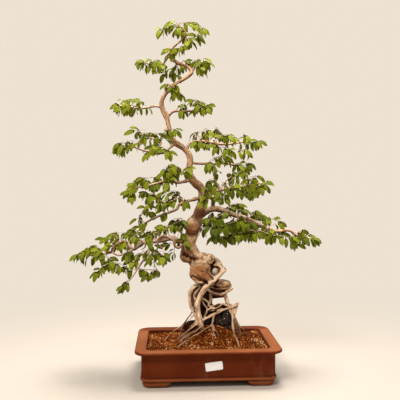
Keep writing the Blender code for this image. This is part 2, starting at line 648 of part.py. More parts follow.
def leafy_branch(name, look, neighbours):
    """One branch beyond its stub, with its twigs and leaves joined to it."""
    spread, clusters = BRANCHES[name][3:]
    path, radii = split_branch(name)[1]
    branch = tube(name + "_branch", path, radii, BRANCH_SIDES)
    rng = random.Random(name)
    skeleton = list(path[1:])
    sprigs = []
    grown = [tree_of(branch)]
    if name in LIMBS:
        points, limb_start, limb_end = LIMBS[name]
        limb = branch_path(points)
        sprigs.append(tube("limb", limb, tapered(limb, limb_start, limb_end), BRANCH_SIDES))
        grown.append(tree_of(sprigs[-1]))
        skeleton += limb[1:]

    def add(shape):
        sprigs.append(body("sprig", *shape))
        grown.append(tree_of(sprigs[-1]))

    for index, cluster in enumerate(clusters):
        if index % CLUSTER_CYCLE in LEFT_BARE:
            continue
        flat = seen(cluster[0], path[len(path) // 2].y, cluster[1])
        near = nearest_on(path, flat)
        depth = cluster[2] if len(cluster) == 3 else cluster_depth(index, spread, near)
        twig = grow_twig(skeleton, seen(cluster[0], depth, cluster[1]))
        outward = twig[-1] - twig[0]
        heading = math.atan2(outward.y, outward.x)
        ended = clear_sprig(twig, heading, 0, rng, neighbours, grown)
        if not ended:
            continue
        add(ended)
        skeleton += twig[1:]
        if index % CLUSTER_CYCLE in TWO_LEAVES:
            side = twig[-2].lerp(twig[-1], SIDE_LEAF_PLACE)
            hand = SIDE_LEAF_TURN if index % 2 else -SIDE_LEAF_TURN
            beside = clear_sprig([side], heading + hand, STALK, rng, neighbours, grown)
            if beside:
                add(beside)
    boolean(branch, sprigs, "UNION")
    keep_largest(branch)
    finish_body(branch, look)
    return branch


def make_label(look):
    """A blank paper sticker, slightly turned, on the pot's front wall."""
    label = body("label", *loft([[(a * LABEL_WIDTH / 2, y, b * LABEL_HEIGHT / 2)
                                  for a, b in ((-1, -1), (1, -1), (1, 1), (-1, 1))]
                                 for y in (-LABEL_THICKNESS, 0)]))
    wall = -POT_DEPTH / 2 + WALL_INSET - CLEARANCE
    place = Matrix.Translation(Vector((LABEL_X, wall, LABEL_Z)) * MM)
    label.data.transform(place @ Matrix.Rotation(math.radians(-LABEL_TILT), 4, "Y"))
    finish_body(label, look)
    return label


def tree_of(made):
    """A search tree of a finished body, to keep later ones clear of it."""
    mesh = made.data
    return BVHTree.FromPolygons([v.co for v in mesh.vertices], [p.vertices for p in mesh.polygons])


def stand_on_origin(objects):
    """Moves all meshes so that the origin is at the middle of the whole part's underside."""
    points = [v.co for made in objects for v in made.data.vertices]
    low = Vector([min(p[k] for p in points) for k in range(3)])
    high = Vector([max(p[k] for p in points) for k in range(3)])
    shift = Matrix.Translation(-Vector(((low.x + high.x) / 2, (low.y + high.y) / 2, low.z)))
    for made in objects:
        made.data.transform(shift)


def main():
    remove(list(bpy.data.objects))
    clay = material("clay", (0.19, 0.055, 0.025), 0.75)
    earth = material("earth", (0.16, 0.06, 0.025), 0.95)
    bark = material("bark", (0.52, 0.34, 0.20), 0.8)
    leaf = material("leaf", (0.13, 0.24, 0.03), 0.55)
    pale_stone = material("pale_stone", (0.42, 0.38, 0.30), 0.7)
    dark_stone = material("dark_stone", (0.02, 0.015, 0.015), 0.25)
    paper = material("paper", (0.85, 0.85, 0.85), 0.6)
    mesh_plastic = material("mesh_plastic", (0.02, 0.02, 0.02), 0.6)

    pot = make_pot(clay)
    screens = [make_screen("drain_screen_left", -DRAIN_OFFSET, mesh_plastic),
               make_screen("drain_screen_right", DRAIN_OFFSET, mesh_plastic)]
    trunk = make_trunk(bark)

    pebble = pebble_shape("pebble", seen(*PEBBLE[0]), PEBBLE[1], 2, 0.01)
    boolean(pebble, knot_bodies(CLEARANCE) + root_tubes(CLEARANCE), "DIFFERENCE")
    keep_largest(pebble)
    finish_body(pebble, pale_stone)

    stone = pebble_shape("root_stone", seen(*ROOT_STONE[0]), ROOT_STONE[1], 2, 0.04)
    boolean(stone, root_tubes(CLEARANCE), "DIFFERENCE")
    keep_largest(stone)
    finish_body(stone, dark_stone)

    stone_hole = pebble_shape("stone_hole", seen(*ROOT_STONE[0]), ROOT_STONE[1], 2, 0.04, CLEARANCE)
    soil = make_soil(earth, root_tubes(CLEARANCE) + [stone_hole])
    label = make_label(paper)

    finished = [pot, *screens, trunk, pebble, stone, soil, label]
    built = [tree_of(trunk), tree_of(pot), tree_of(soil)]
    for name in BRANCHES:
        branch = leafy_branch(name, leaf, built)
        built.append(tree_of(branch))
        finished.append(branch)
    stand_on_origin(finished)


main()
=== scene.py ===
"""Looks of the hornbeam bonsai: wood, leaves, soil, stones, clay pot, floor, light and camera.

Sizes are in millimetres and become metres when a mesh is made. As in the part's source, the tree is
laid out on its front elevation as (x, depth, z), and seen() pushes a point back or forward along the
line of sight from EYE, so that the front view stays as it was laid out.
"""

import math
import random

import bmesh
import bpy
import numpy as np
from mathutils import Euler, Matrix, Vector, noise
from mathutils.bvhtree import BVHTree
from mathutils.kdtree import KDTree


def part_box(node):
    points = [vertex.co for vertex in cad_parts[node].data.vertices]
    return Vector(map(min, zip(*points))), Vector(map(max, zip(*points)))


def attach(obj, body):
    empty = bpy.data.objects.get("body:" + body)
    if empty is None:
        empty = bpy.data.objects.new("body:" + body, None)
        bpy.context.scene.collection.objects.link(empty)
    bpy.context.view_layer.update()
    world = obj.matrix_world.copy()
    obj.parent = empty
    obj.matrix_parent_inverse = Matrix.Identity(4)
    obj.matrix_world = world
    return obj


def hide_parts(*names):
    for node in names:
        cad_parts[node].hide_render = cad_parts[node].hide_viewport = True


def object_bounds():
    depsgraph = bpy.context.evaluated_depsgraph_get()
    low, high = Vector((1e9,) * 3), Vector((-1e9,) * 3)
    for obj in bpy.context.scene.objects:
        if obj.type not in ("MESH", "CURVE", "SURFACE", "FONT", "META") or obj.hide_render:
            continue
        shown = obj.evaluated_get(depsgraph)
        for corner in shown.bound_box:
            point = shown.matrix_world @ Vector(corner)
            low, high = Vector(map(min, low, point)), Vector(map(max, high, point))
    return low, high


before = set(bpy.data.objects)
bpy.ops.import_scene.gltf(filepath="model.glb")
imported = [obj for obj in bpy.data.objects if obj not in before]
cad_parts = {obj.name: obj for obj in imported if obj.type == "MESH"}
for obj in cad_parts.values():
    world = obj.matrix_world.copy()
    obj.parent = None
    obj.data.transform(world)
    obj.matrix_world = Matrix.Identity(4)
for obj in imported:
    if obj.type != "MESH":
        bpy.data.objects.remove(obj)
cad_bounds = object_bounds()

# Without a seed, noise vectors differ from run to run
noise.seed_set(2)

MM = 0.001
EYE = Vector((-83.0, -1190.0, 411.0))
POT_LOW, POT_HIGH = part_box("pot")
SHIFT = Vector(((POT_LOW.x + POT_HIGH.x) / 2, (POT_LOW.y + POT_HIGH.y) / 2, 0.0)) / MM

# Pot
POT_WIDTH = 300.0
POT_DEPTH = 204.0
POT_HEIGHT = 76.0
POT_CORNER = 26.0
LIP_TOP = 24.0
LIP_FACE = 6.0
WALL_INSET = 13.0
BELT_LOW = 13.6
BELT_HIGH = 20.6
FOOT_HEIGHT = 12.4
UNDERSIDE = 14.0
FLOOR_TOP = 25.0
FOOT_LENGTH = 44.0
FOOT_SWEEP = 19.0
SKIRT_THICKNESS = 20.0
DRAIN_RADIUS = 11.0
DRAIN_OFFSET = 68.0

# Soil
SOIL_EDGE = 70.0
MOUND_HEIGHT = 37.0
MOUND_CENTRE = (12.0, -7.0)
MOUND_REACH = (66.0, 46.0)

# Label, blank paper
LABEL_WIDTH = 35.0
LABEL_HEIGHT = 17.0
LABEL_TILT = 7.0
LABEL_SHIFT = 2.5

# Stage, and the photograph's viewpoint measured from the pot, with its pitch and turn in degrees
BACKDROP = (0.85, 0.76, 0.645)
CAMERA_PLACE = (-82.6, -1190.3, 410.6)
CAMERA_PITCH = 88.30
CAMERA_TURN = -3.315

# Leaves: length, spacing along a twig, lean to the front in radians, and how many at a twig's tip
LEAF_LENGTH = 23.0
LEAF_SPACING = 5.4
LEAF_LEAN = 0.95
LEAVES_AT_TIP = (3, 4)

# Wood: step along its paths and of its skin, drift of its bends, and how far round it counts as closed in
WOOD_STEP = 4.0
FINE_STEP = 3.0
WOOD_VOXEL = 1.25
ROOT_DRIFT = 1.6
BRANCH_DRIFT = 0.8
SHELTER_REACH = 16.0

# Depths that pockets don't reach: wood further forward is neither dented nor given painted shade by them
DENTED_BEHIND = -26
DARKENED_BEHIND = -24

# The trunk's middle line from the knotted base to the apex: x, depth, z, radius
TRUNK = (
    (-6, 2, 212, 17), (-14, 2, 236, 18), (-28, 2, 254, 17), (-36, -1, 270, 16.5),
    (-37, -4, 286, 15.5), (-31, -4, 302, 13.2), (-28, -3, 320, 14.5), (-22, -1, 336, 13.2),
    (-13, 3, 351, 12), (-7, 8, 370, 11), (-7, 8, 384, 10.3), (-11, 6, 398, 9.6),
    (-22, 3, 410, 9), (-32, -1, 421, 8.4), (-37, -4, 433, 7.9), (-36, -6, 446, 7.4),
    (-35, -8, 461, 7), (-40, -8, 477, 6.6), (-53, -6, 489, 6.3), (-68, -3, 499, 6),
    (-77, 0, 514, 5.7), (-81, 2, 534, 5.4), (-85, 4, 552, 5.2), (-93, 3, 568, 5),
    (-96, 0, 582, 4.8), (-91, -3, 595, 4.6), (-79, -6, 610, 4.4), (-66, -8, 622, 4.2),
    (-53, -9, 630, 4), (-40, -8, 638, 3.9), (-31, -6, 648, 3.8), (-37, -4, 657, 3.6),
    (-47, -2, 662, 3.4), (-61, -1, 667, 3.2), (-73, 0, 674, 3), (-80, -1, 682, 2.9),
    (-77, -3, 691, 2.8), (-69, -5, 701, 2.7), (-59, -6, 710, 2.6), (-49, -7, 719, 2.4),
    (-43, -8, 727, 2.2), (-46, -8, 736, 2),
)

# Swellings of the knotted base and the trunk, and masses of wood behind the roots that fill the gaps there
# and take painted shade: middle (x, depth, z), radii
KNOTS = (
    ((-12, -9, 220), (24.5, 19, 26)), ((-43, 5, 256), (15, 12, 17)), ((5, -5, 250), (14, 11, 10)),
    ((22, -7, 233), (11, 9, 6.5)), ((15, 6, 232), (20, 11, 20)), ((-12, -18, 200), (14, 9, 7)),
    ((2, -9, 243), (12, 12, 9)), ((34, -11, 226), (9, 8, 6.5)), ((22, 5, 193), (15, 9, 11)),
    ((2, 4, 196), (20, 14, 15)), ((37, -5, 191), (17, 14, 12.5)), ((36, 3, 181), (18, 11, 8)),
    ((22, 3, 177), (19, 11, 9)), ((4, -24, 210), (9, 6, 10)), ((-30, -9, 321), (15, 12, 18)),
    ((-25, 8, 168), (12, 8, 26)), ((1, 8, 158), (12, 8, 22)), ((8, 9, 134), (15, 8, 18)),
    ((-7, 12, 125), (14, 10, 24)), ((48, 2, 144), (12, 8, 6)),
    ((-10, -2, 256), (11, 10, 8)), ((14, -3, 208), (9, 9, 7)), ((22, 6, 169), (21, 7, 6.5)),
    ((30, 1, 144), (17, 5, 5)), ((-31, 5, 102), (20, 10, 14)), ((-9, 6, 150), (7, 7, 12)),
    ((63, -8, 139), (4.5, 4, 7)), ((60, 6, 110), (4.5, 5, 17)),
)

# Roots: points (x, depth, z), then the radius at the start and at the end
ROOTS = {
    "strap": (((41, -17, 226), (34, -22, 219), (22, -27, 207), (2, -28, 190), (-11, -26, 172),
               (-18, -23, 150), (-16, -21, 125), (-11, -19, 104), (-9, -17, 84)), 5.3, 5.7),
    "left_loop": (((-14, -8, 193), (-28, -9, 187), (-35, -10, 179), (-36, -10, 164),
                   (-35, -10, 149), (-30, -11, 139), (-24, -14, 129), (-19, -17, 108)), 3.3, 3.6),
    "ridge": (((-1, -29, 222), (8, -27, 213), (18, -27, 206)), 2.2, 3.0),
    "inner_ridge": (((8, -14, 187), (28, -18, 182), (46, -16, 184)), 1.6, 1.8),
    "inner_left": (((-12, -6, 190), (-27, -7, 168), (-22, -9, 159), (-25, -10, 148),
                    (-29, -10, 138)), 3.2, 2.6),
    "cross": (((57, -10, 184), (50, -14, 179), (43, -16, 175), (30, -16, 171), (14, -12, 175),
               (0, -3, 184)), 2.6, 4),
    "upper_leg": (((40, -7, 176), (43, -6, 162), (47, -6, 146)), 4.2, 3.6),
    "thin_bridge": (((-12, -20, 164), (-2, -14, 157), (9, -9, 150)), 1.6, 1.4),
    "bridge": (((2, -10, 144), (14, -11, 143), (30, -9, 149), (46, -7, 147)), 1.8, 3),
    "high_bridge": (((-9, -12, 166), (2, -13, 156), (6, -13, 146), (18, -14, 147.5), (30, -15, 151),
                     (44, -14, 147)), 1.6, 1.8),
    "low_bridge": (((-6, -17, 122), (0, -18, 134), (5, -18, 139), (16, -17, 140), (30, -15, 146)),
                   1.5, 1.8),
    "window_left": (((8, -2, 172), (10, -4, 160), (6, -6, 148)), 3.4, 3.0),
    "stub_up": (((54, -10, 142), (62, -12, 146), (68, -12, 149.5)), 3.4, 2.6),
    "stub_down": (((58, -8, 144), (66, -10, 140), (64, -12, 131)), 3.0, 1.4),
    "leg_second": (((56, -12, 140), (61, -12, 124), (63.5, -10, 111), (66.5, -8, 100), (68.5, -6, 90),
                    (70, -5, 80)), 2.0, 1.5),
    "middle_right": (((12, -17, 110), (17, -25, 98), (24, -34, 87)), 1.8, 1.3),
    "spread_f": (((-14, -18, 112), (-30, -20, 100), (-46, -20, 88), (-60, -20, 76), (-74, -22, 66)),
                 1.8, 1.2),
    "fork_high": (((-10, -20, 158), (1, -15, 138), (-5, -18, 119)), 1.7, 1.7),
    "fork_right": (((1, -15, 138), (14, -13, 136), (32, -9, 141)), 1.7, 2),
    "diagonal": (((-10, -18, 113), (14, -13, 127), (32, -10, 135), (50, -8, 141), (60, -6, 144),
                  (64, -5, 145)), 2.8, 4.2),
    "leg_front": (((49, -8, 139), (56.5, -12, 121), (57.5, -20, 103), (59.5, -28, 92), (62, -36, 82),
                   (67, -44, 70), (70, -50, 62)), 2.8, 1.9),
    "leg_back": (((58, -6, 142), (61, -4, 124), (65, 0, 112), (70, 4, 100), (74, 6, 86)), 3.2, 2.0),
    "leg_far": (((61, -4, 124), (71, 4, 104), (84, 14, 90), (96, 20, 74)), 1.7, 1.2),
    "middle": (((17, -13, 128), (13, -18, 105), (16, -28, 90), (20, -38, 79)), 2.3, 1.6),
    "middle_left": (((13, -16, 104), (-4, -22, 94), (-22, -27, 80)), 1.7, 1.3),
    "spread_a": (((-31, -11, 134), (-49, 0, 107), (-66, 8, 96), (-80, 14, 84), (-92, 16, 70)), 2.1, 1.3),
    "spread_b": (((-27, -14, 128), (-44, -6, 108), (-53, 4, 96), (-60, 10, 80)), 2.0, 1.3),
    "spread_c": (((-19, -17, 108), (-34, -14, 98), (-44, -12, 87), (-56, -10, 72)), 2.1, 1.4),
    "spread_d": (((-12, -19, 103), (-26, -24, 91), (-40, -27, 82), (-55, -29, 72), (-70, -31, 58)),
                 2.3, 1.5),
    "spread_e": (((4, -18, 100), (-9, -30, 91), (-25, -40, 82), (-36, -44, 74), (-52, -48, 64),
                  (-68, -50, 52)), 2.0, 1.5),
    "spread_g": (((-16, -16, 120), (-27, -12, 108), (-40, -6, 98), (-50, -2, 86)), 1.7, 1.2),
    "spread_h": (((-8, -20, 104), (-20, -30, 95), (-31, -36, 86), (-44, -40, 76), (-58, -42, 62)),
                 1.5, 1.1),
    "back_left": (((-6, 8, 196), (-14, 16, 160), (-18, 20, 125), (-30, 27, 100), (-46, 36, 74)), 6, 3),
    "back_middle": (((4, 10, 192), (6, 18, 150), (0, 21, 115), (6, 26, 76)), 6.5, 4),
    "back_right": (((44, -6, 150), (52, 10, 126), (56, 24, 104), (66, 36, 78)), 4, 2.4),
}

# Roots that are barer and paler than the rest
ROOT_PALENESS = {"strap": 1.0, "ridge": 0.55, "left_loop": 0.8, "inner_left": 0.75, "cross": 0.7}

# Stones held by the roots: middle (x, depth, z), radii
PEBBLE = ((19.4, -17, 220.5), (6.6, 5.5, 8.0))
ROOT_STONES = (((42, -1, 112), (14.5, 10, 26)), ((23, 3, 115), (13, 10, 23)))
SIDE_STONE = ((1, 5, 110), (13, 9, 12))

# Branches: path (x, depth, z) from the trunk's middle line, radius at the start and at the end, how
# far the clusters spread in depth, and the leaf clusters (x, z) or (x, z, depth)
BRANCHES = {
    "apex": (((-46, -8, 734), (-52, -8, 742), (-61, -8, 748)), 2.0, 1.2, 20, (
        (-75, 750), (-90, 735), (-60, 742), (-35, 750), (-15, 737), (-20, 720), (-40, 712),
        (-57, 695), (-77, 690))),
    "left_1": (((-80, -1, 682), (-92, -6, 665), (-109, -8, 662), (-128, -4, 666)), 2.2, 1.2, 20, (
        (-137, 671), (-120, 668), (-102, 671), (-90, 660))),
    "middle_1": (((-61, -1, 667), (-66, 14, 660), (-70, 26, 648)), 2.0, 1.2, 12, (
        (-80, 650, 24), (-62, 656, 34), (-48, 670, 22), (-90, 643, 14), (-66, 636, 30))),
    "right_1": (((-31, -6, 648), (-20, 2, 663), (-3, 6, 672)), 2.2, 1.2, 20, (
        (-35, 668, 16), (-20, 670), (-5, 675), (3, 665), (-14, 655))),
    "middle_2": (((-79, -6, 610), (-72, -18, 616), (-66, -24, 614)), 1.8, 1.2, 8, (
        (-83, 620, -12), (-66, 618, -26), (-70, 600, -20), (-56, 601, -18))),
    "left_2": (((-94, 2, 570), (-106, 0, 575), (-142, -3, 570), (-160, -2, 572), (-181, 2, 575)),
               2.6, 1.3, 26, (
        (-192, 580), (-175, 581), (-160, 582), (-145, 585), (-175, 568), (-157, 569))),
    "right_2": (((-85, 4, 550), (-69, 0, 564), (-44, -4, 565), (-28, -4, 566), (-17, -2, 572),
                 (0, 2, 578)), 2.6, 1.3, 26, (
        (7, 580), (-10, 584), (-25, 586), (-48, 580), (-5, 569), (-22, 569))),
    "left_3": (((-66, -3, 498), (-79, -8, 487), (-87, -10, 479), (-100, -12, 476), (-129, -12, 480),
                (-157, -6, 489), (-178, 0, 486)), 3.4, 1.3, 38, (
        (-188, 486), (-176, 484), (-165, 500), (-145, 521), (-126, 516), (-105, 515), (-141, 494),
        (-120, 490), (-100, 486), (-125, 474), (-80, 476, -22), (-85, 522, -20), (-69, 524, -22))),
    "right_3": (((-42, -8, 480), (-37, -4, 496), (-24, 0, 500), (-7, 2, 501), (14, 0, 498),
                 (39, -4, 495), (66, -2, 498), (92, 2, 502)), 3.6, 1.3, 38, (
        (100, 500), (81, 516), (56, 507), (36, 511), (16, 506), (20, 526), (-1, 526), (-22, 514),
        (-19, 499, -20), (-3, 498), (21, 490), (50, 484), (81, 481))),
    "right_4": (((-35, -8, 455), (-9, -4, 453), (4, 0, 454), (20, 4, 452), (42, 6, 454),
                 (78, 4, 448)), 3.0, 1.3, 34, (
        (86, 454), (65, 451), (42, 462), (25, 466), (10, 447), (20, 431))),
    "left_4": (((-30, 0, 419), (-59, -6, 413), (-78, -10, 416), (-104, -10, 412), (-126, -6, 406),
                (-149, -2, 402), (-162, 2, 397)), 3.8, 1.3, 44, (
        (-167, 399), (-160, 387), (-150, 405), (-135, 420), (-124, 416), (-105, 421), (-95, 436),
        (-76, 448), (-60, 445), (-80, 430), (-115, 405), (-85, 414), (-40, 440, -24))),
    "right_5": (((-8, 8, 388), (16, 2, 393), (47, 0, 400), (77, 2, 404), (107, 4, 410),
                 (124, 4, 410)), 4.2, 1.3, 50, (
        (127, 414), (120, 401), (106, 425), (90, 420), (74, 435), (56, 430), (40, 411), (20, 416),
        (4, 415), (98, 396), (76, 394), (52, 396), (26, 394), (2, 395, -26), (-5, 376, -26),
        (16, 376), (40, 380))),
    "left_5": (((-13, 4, 380), (-52, -16, 369), (-65, -20, 355), (-88, -22, 346), (-107, -20, 339),
                (-126, -16, 329), (-141, -12, 320)), 3.6, 1.4, 44, (
        (-142, 338), (-130, 355), (-125, 386), (-105, 387), (-88, 388), (-60, 390), (-100, 366),
        (-75, 370), (-46, 374, -34), (-96, 350))),
    "left_low": (((-30, -4, 300), (-57, -10, 287), (-74, -14, 294), (-93, -14, 290), (-106, -12, 288),
                  (-134, -8, 286), (-157, -6, 271), (-172, -8, 284), (-191, -8, 282), (-199, -6, 267),
                  (-214, -4, 262), (-236, 0, 259), (-256, 2, 257)), 6.5, 1.4, 58, (
        (-272, 258), (-262, 262), (-254, 266), (-240, 275), (-225, 271), (-215, 290), (-225, 258),
        (-205, 276), (-201, 303), (-185, 290), (-169, 300), (-155, 310), (-137, 306), (-120, 306),
        (-104, 306), (-87, 314), (-70, 320), (-50, 330), (-145, 291), (-125, 288), (-165, 284),
        (-166, 261), (-148, 257), (-132, 261), (-113, 256), (-94, 255), (-75, 260),
        (-50, 287, -30), (-231, 223), (-209, 231), (-195, 237), (-172, 229), (-157, 244),
        (-170, 201, -24), (-143, 226, -12), (-124, 213, -30), (-169, 187, -18), (-106, 224, -20),
        (-119, 241, -28))),
    "right_low": (((-18, 2, 338), (7, -4, 354), (24, -6, 356), (43, -6, 350), (59, -4, 344),
                   (78, 0, 338), (94, 2, 332), (107, 2, 326), (137, 0, 311), (156, -2, 307),
                   (180, -2, 309), (195, 0, 299), (215, 2, 293), (229, 2, 291)), 7, 1.4, 58, (
        (234, 290), (215, 294), (205, 305), (190, 281), (181, 291), (165, 304), (155, 325),
        (146, 295), (135, 306), (124, 320), (115, 336), (100, 345), (77, 350), (63, 362),
        (49, 360), (106, 305), (86, 300), (70, 301), (101, 321), (85, 326), (70, 330), (55, 320),
        (46, 297), (22, 297), (34, 317), (14, 314), (26, 336), (9, 334), (-6, 330, 14),
        (-5, 311, 22))),
}

# Branches whose leaves get more painted shade, deeper green than the rest
LEAF_SHADE = {"right_low": 0.14, "right_5": 0.05, "right_4": 0.04}

# Limbs that fork from a branch: points (x, depth, z), then the radius at the start and at the end
LIMBS = {
    "left_low": (((-122, -9, 287), (-124, -14, 262), (-136, -18, 245), (-148, -20, 227),
                  (-157, -20, 213), (-166, -20, 202)), 2.8, 1.2),
    "left_3": (((-93, -11, 477), (-102, 2, 500), (-125, 8, 509), (-143, 6, 516)), 2.0, 1.2),
    "left_4": (((-59, -6, 413), (-70, 4, 428), (-92, 10, 432)), 2.0, 1.2),
    "right_5": (((30, 1, 397), (40, 10, 414), (60, 12, 430)), 2.2, 1.2),
}

# Bare curls of old wood by the trunk: branch, points (x, depth, z), radius at the start and at the end
CURLS = (
    ("left_low", ((-50, -14, 279), (-60, -18, 273), (-68, -20, 277), (-69, -21, 286), (-76, -21, 292),
                  (-88, -21, 298), (-99, -21, 295), (-106, -19, 289), (-102, -16, 278), (-94, -13, 271)),
     3.2, 1.8),
    ("left_low", ((-142, -14, 291), (-133, -20, 284), (-131, -20, 276), (-139, -17, 269)), 2.2, 1.2),
    ("left_low", ((-98, -19, 300), (-106, -20, 306), (-112, -19, 303), (-110, -18, 296)), 1.8, 1.0),
    ("left_low", ((-158, -10, 269), (-168, -12, 265), (-180, -12, 259), (-191, -11, 258),
                  (-201, -8, 264)), 2.4, 2.0),
    ("left_low", ((-146, -20, 228), (-126, -21, 226), (-113, -22, 225), (-102, -22, 222)), 1.3, 0.8),
)

# Stretches of branch that no leaf covers from the front: points (x, depth, z)
SHOWN = (
    ((-16, 0, 384), (-52, -16, 369), (-65, -20, 355), (-88, -22, 346), (-104, -20, 340)),
    ((-12, 0, 340), (7, -4, 354), (24, -6, 356), (43, -6, 350), (59, -4, 344), (78, 0, 338),
     (94, 2, 332), (107, 2, 326), (134, 0, 312)),
    ((176, -2, 309), (195, 0, 299)),
    ((-40, -20, 330), (-28, -22, 322), (-18, -22, 308)),
    ((-34, -6, 455), (-9, -4, 453), (10, 0, 454)),
    ((-40, -6, 482), (-37, -4, 496), (-24, 0, 500), (-7, 2, 501), (14, 0, 498), (32, -3, 496)),
    ((-82, 2, 552), (-69, 0, 564), (-44, -4, 565), (-30, -4, 566)),
    ((-96, 2, 570), (-106, 0, 575), (-142, -3, 570), (-150, -3, 571)),
    ((-68, -4, 497), (-79, -8, 487), (-87, -10, 479)), ((-124, -12, 479), (-142, -10, 484)),
    ((-36, -2, 417), (-59, -6, 413)), ((-95, -10, 413), (-118, -8, 408)),
    ((-62, 0, 667), (-78, -2, 662)),
    ((-135, -17, 246), (-144, -19, 232), (-154, -20, 217), (-165, -20, 204)),
    ((-157, -6, 271), (-165, -7, 279), (-172, -8, 284), (-191, -8, 282)),
)

# Creases of the wood on the front elevation, which also get painted shade: points (x, z), half width, depth
CREASES = (
    (((-54, 262), (-46, 256), (-38, 250), (-29, 246), (-21, 247)), 4.0, 6.0),
    (((-39, 230), (-36, 239), (-30, 246)), 2.8, 4.0),
    (((-44, 304), (-35, 299), (-24, 298), (-14, 303)), 3.6, 3.2),
    (((-28, 346), (-20, 337), (-14, 326)), 3.0, 2.0),
    (((-12, 221), (-5, 220)), 2.4, 2.4),
    (((-30, 209), (-22, 206), (-14, 203), (-6, 200), (1, 196)), 2.4, 5.5),
    (((3, 224), (8, 214), (14, 204)), 2.4, 4.5),
    (((-28, 236), (-16, 240), (-6, 238)), 3.0, 1.2),
    (((-3, 260), (2, 257)), 2.2, 2.6),
    (((8, 244), (14, 246), (20, 247)), 1.5, 2.0),
    (((16, 187), (34, 184), (48, 186), (54, 191)), 1.5, 2.6),
    (((24, 198), (34, 194), (44, 189), (50, 187)), 1.3, 1.6),
    (((-28, 241), (-25, 239)), 2.0, 1.4), (((-5, 247), (-1, 245)), 1.8, 1.4),
    (((-18, 246), (-15, 246)), 1.6, 1.2), (((3, 247), (11, 242)), 1.6, 1.6),
)

# Pockets and places of painted shade on the wood's front elevation: middle (x, z), radius, depth, darkness
# of the painted shade
POCKETS = (((20, 223), 10.0, 4.0, 0.9), ((42, 228), 2.6, 4.0, 0.9), ((-46, 250), 13.0, 0.0, 0.35),
           ((-49, 259), 5.0, 0.0, 0.75), ((-42, 254), 5.0, 0.0, 0.9), ((-35, 249), 5.0, 0.0, 0.9),
           ((-28, 246), 4.5, 0.0, 0.8), ((-38, 236), 5.0, 0.0, 0.5),
           ((24, 176), 14.0, 0.0, 0.5), ((-2, 258), 2.5, 1.5, 0.5), ((-10, 220.5), 3.0, 1.8, 0.95),
           ((-5, 219), 1.8, 1.2, 0.8), ((-4, 237), 1.7, 1.2, 0.7), ((-14, 347), 18.0, 0.0, 0.60),
           ((-4, 366), 14.0, 0.0, 0.5), ((-27, 303), 8.0, 0.0, 0.42), ((8, 214), 3.5, 0.0, 0.8),
           ((-37, 262), 9.0, 0.0, 0.4), ((-27, 252), 6.5, 0.0, 0.5))

# Places where the old bark is paler on wood that faces the front, partly its own pale tone and partly a
# painted highlight, and places where it is rusty: middle (x, z), half sizes, share
PALE_AND_HIGHLIT = (((-17, 272), (12, 24), 0.7), ((2, 249), (22, 9), 0.55), ((-36, 331), (11, 9), 0.5),
            ((-10, 238), (18, 6), 0.25), ((37, 198), (16, 8), 0.5))
RUSTY = (((-12, 217), (26, 19), 1.3), ((0, 313), (math.inf, 14), 0.9), ((38, 189), (18, 10), 0.7))


def seen(x, depth, z):
    """The place, in millimetres, of a front-elevation point at that depth, in the shared frame."""
    reach = (depth - EYE.y) / -EYE.y
    return Vector((EYE.x + (x - EYE.x) * reach, depth, EYE.z + (z - EYE.z) * reach)) + SHIFT


def laid_out(point):
    """The front-elevation x, depth and z of a place in the shared frame: what undoes seen()."""
    flat = point - SHIFT
    reach = (flat.y - EYE.y) / -EYE.y
    return Vector((EYE.x + (flat.x - EYE.x) / reach, flat.y, EYE.z + (flat.z - EYE.z) / reach))


# ---- Small tools for meshes

def show(name, data):
    """A new object in the scene, for a mesh, a lamp or a lens."""
    made = bpy.data.objects.new(name, data)
    bpy.context.scene.collection.objects.link(made)
    return made


def object_from(name, vertices, faces):
    """A mesh object from points in millimetres."""
    mesh = bpy.data.meshes.new(name)
    mesh.from_pydata([tuple(c * MM for c in v) for v in vertices], [], faces)
    mesh.update()
    return show(name, mesh)


def merge_doubles(mesh, distance, outwards=False):
    """Merges the doubles of a mesh and, if asked, turns its faces outwards."""
    shape = bmesh.new()
    shape.from_mesh(mesh)
    bmesh.ops.remove_doubles(shape, verts=shape.verts, dist=distance)
    if outwards:
        bmesh.ops.recalc_face_normals(shape, faces=shape.faces)
    shape.to_mesh(mesh)
    shape.free()


def closed_form(name, rings):
    """A closed mesh object through rings of points, with its faces turned outwards."""
    made = object_from(name, *loft(rings))
    merge_doubles(made.data, 1e-6, outwards=True)
    return made


def give_finish(made, finish, sharp_angle=None):
    """Material and smooth shading, with sharp edges above an angle in degrees."""
    made.data.materials.append(finish)
    made.data.shade_smooth()
    if sharp_angle:
        made.data.set_sharp_from_angle(angle=math.radians(sharp_angle))
    return made


def apply_modifiers(made):
    """Keeps what an object's modifiers show as its plain mesh."""
    view = bpy.context.evaluated_depsgraph_get()
    baked = bpy.data.meshes.new_from_object(made.evaluated_get(view), preserve_all_data_layers=True,
                                            depsgraph=view)
    made.modifiers.clear()
    made.data = baked


def mesh_from(name, shape):
    """A mesh from an edited shape, which is then freed."""
    mesh = bpy.data.meshes.new(name)
    shape.to_mesh(mesh)
    shape.free()
    return mesh


def join(objects, name):
    """One mesh object from several, which are then removed."""
    shape = bmesh.new()
    for made in objects:
        shape.from_mesh(made.data)
        bpy.data.objects.remove(made)
    return show(name, mesh_from(name, shape))


def store(mesh, name, kind, values):
    """Writes a point attribute, one value or vector for each vertex."""
    field = "vector" if kind == "FLOAT_VECTOR" else "value"
    number = np.int32 if kind == "INT" else np.float32
    mesh.attributes.new(name, kind, "POINT").data.foreach_set(field, np.asarray(values, number).ravel())


def read_points(vertices, field):
    """A three-value field of each vertex, as an array."""
    found = np.zeros(len(vertices) * 3, np.float32)
    vertices.foreach_get(field, found)
    return found.reshape(-1, 3).astype(float)


def loft(rings):
    """Vertices and faces through rings of equal length, with both ends closed."""
    count = len(rings[0])
    vertices = [point for ring in rings for point in ring]
    faces = [tuple(range(count))]
    for ring in range(len(rings) - 1):
        low, high = ring * count, (ring + 1) * count
        for i in range(count):
            j = (i + 1) % count
            faces.append((low + i, low + j, high + j, high + i))
    faces.append(tuple(range((len(rings) - 1) * count, len(rings) * count)))
    return vertices, faces


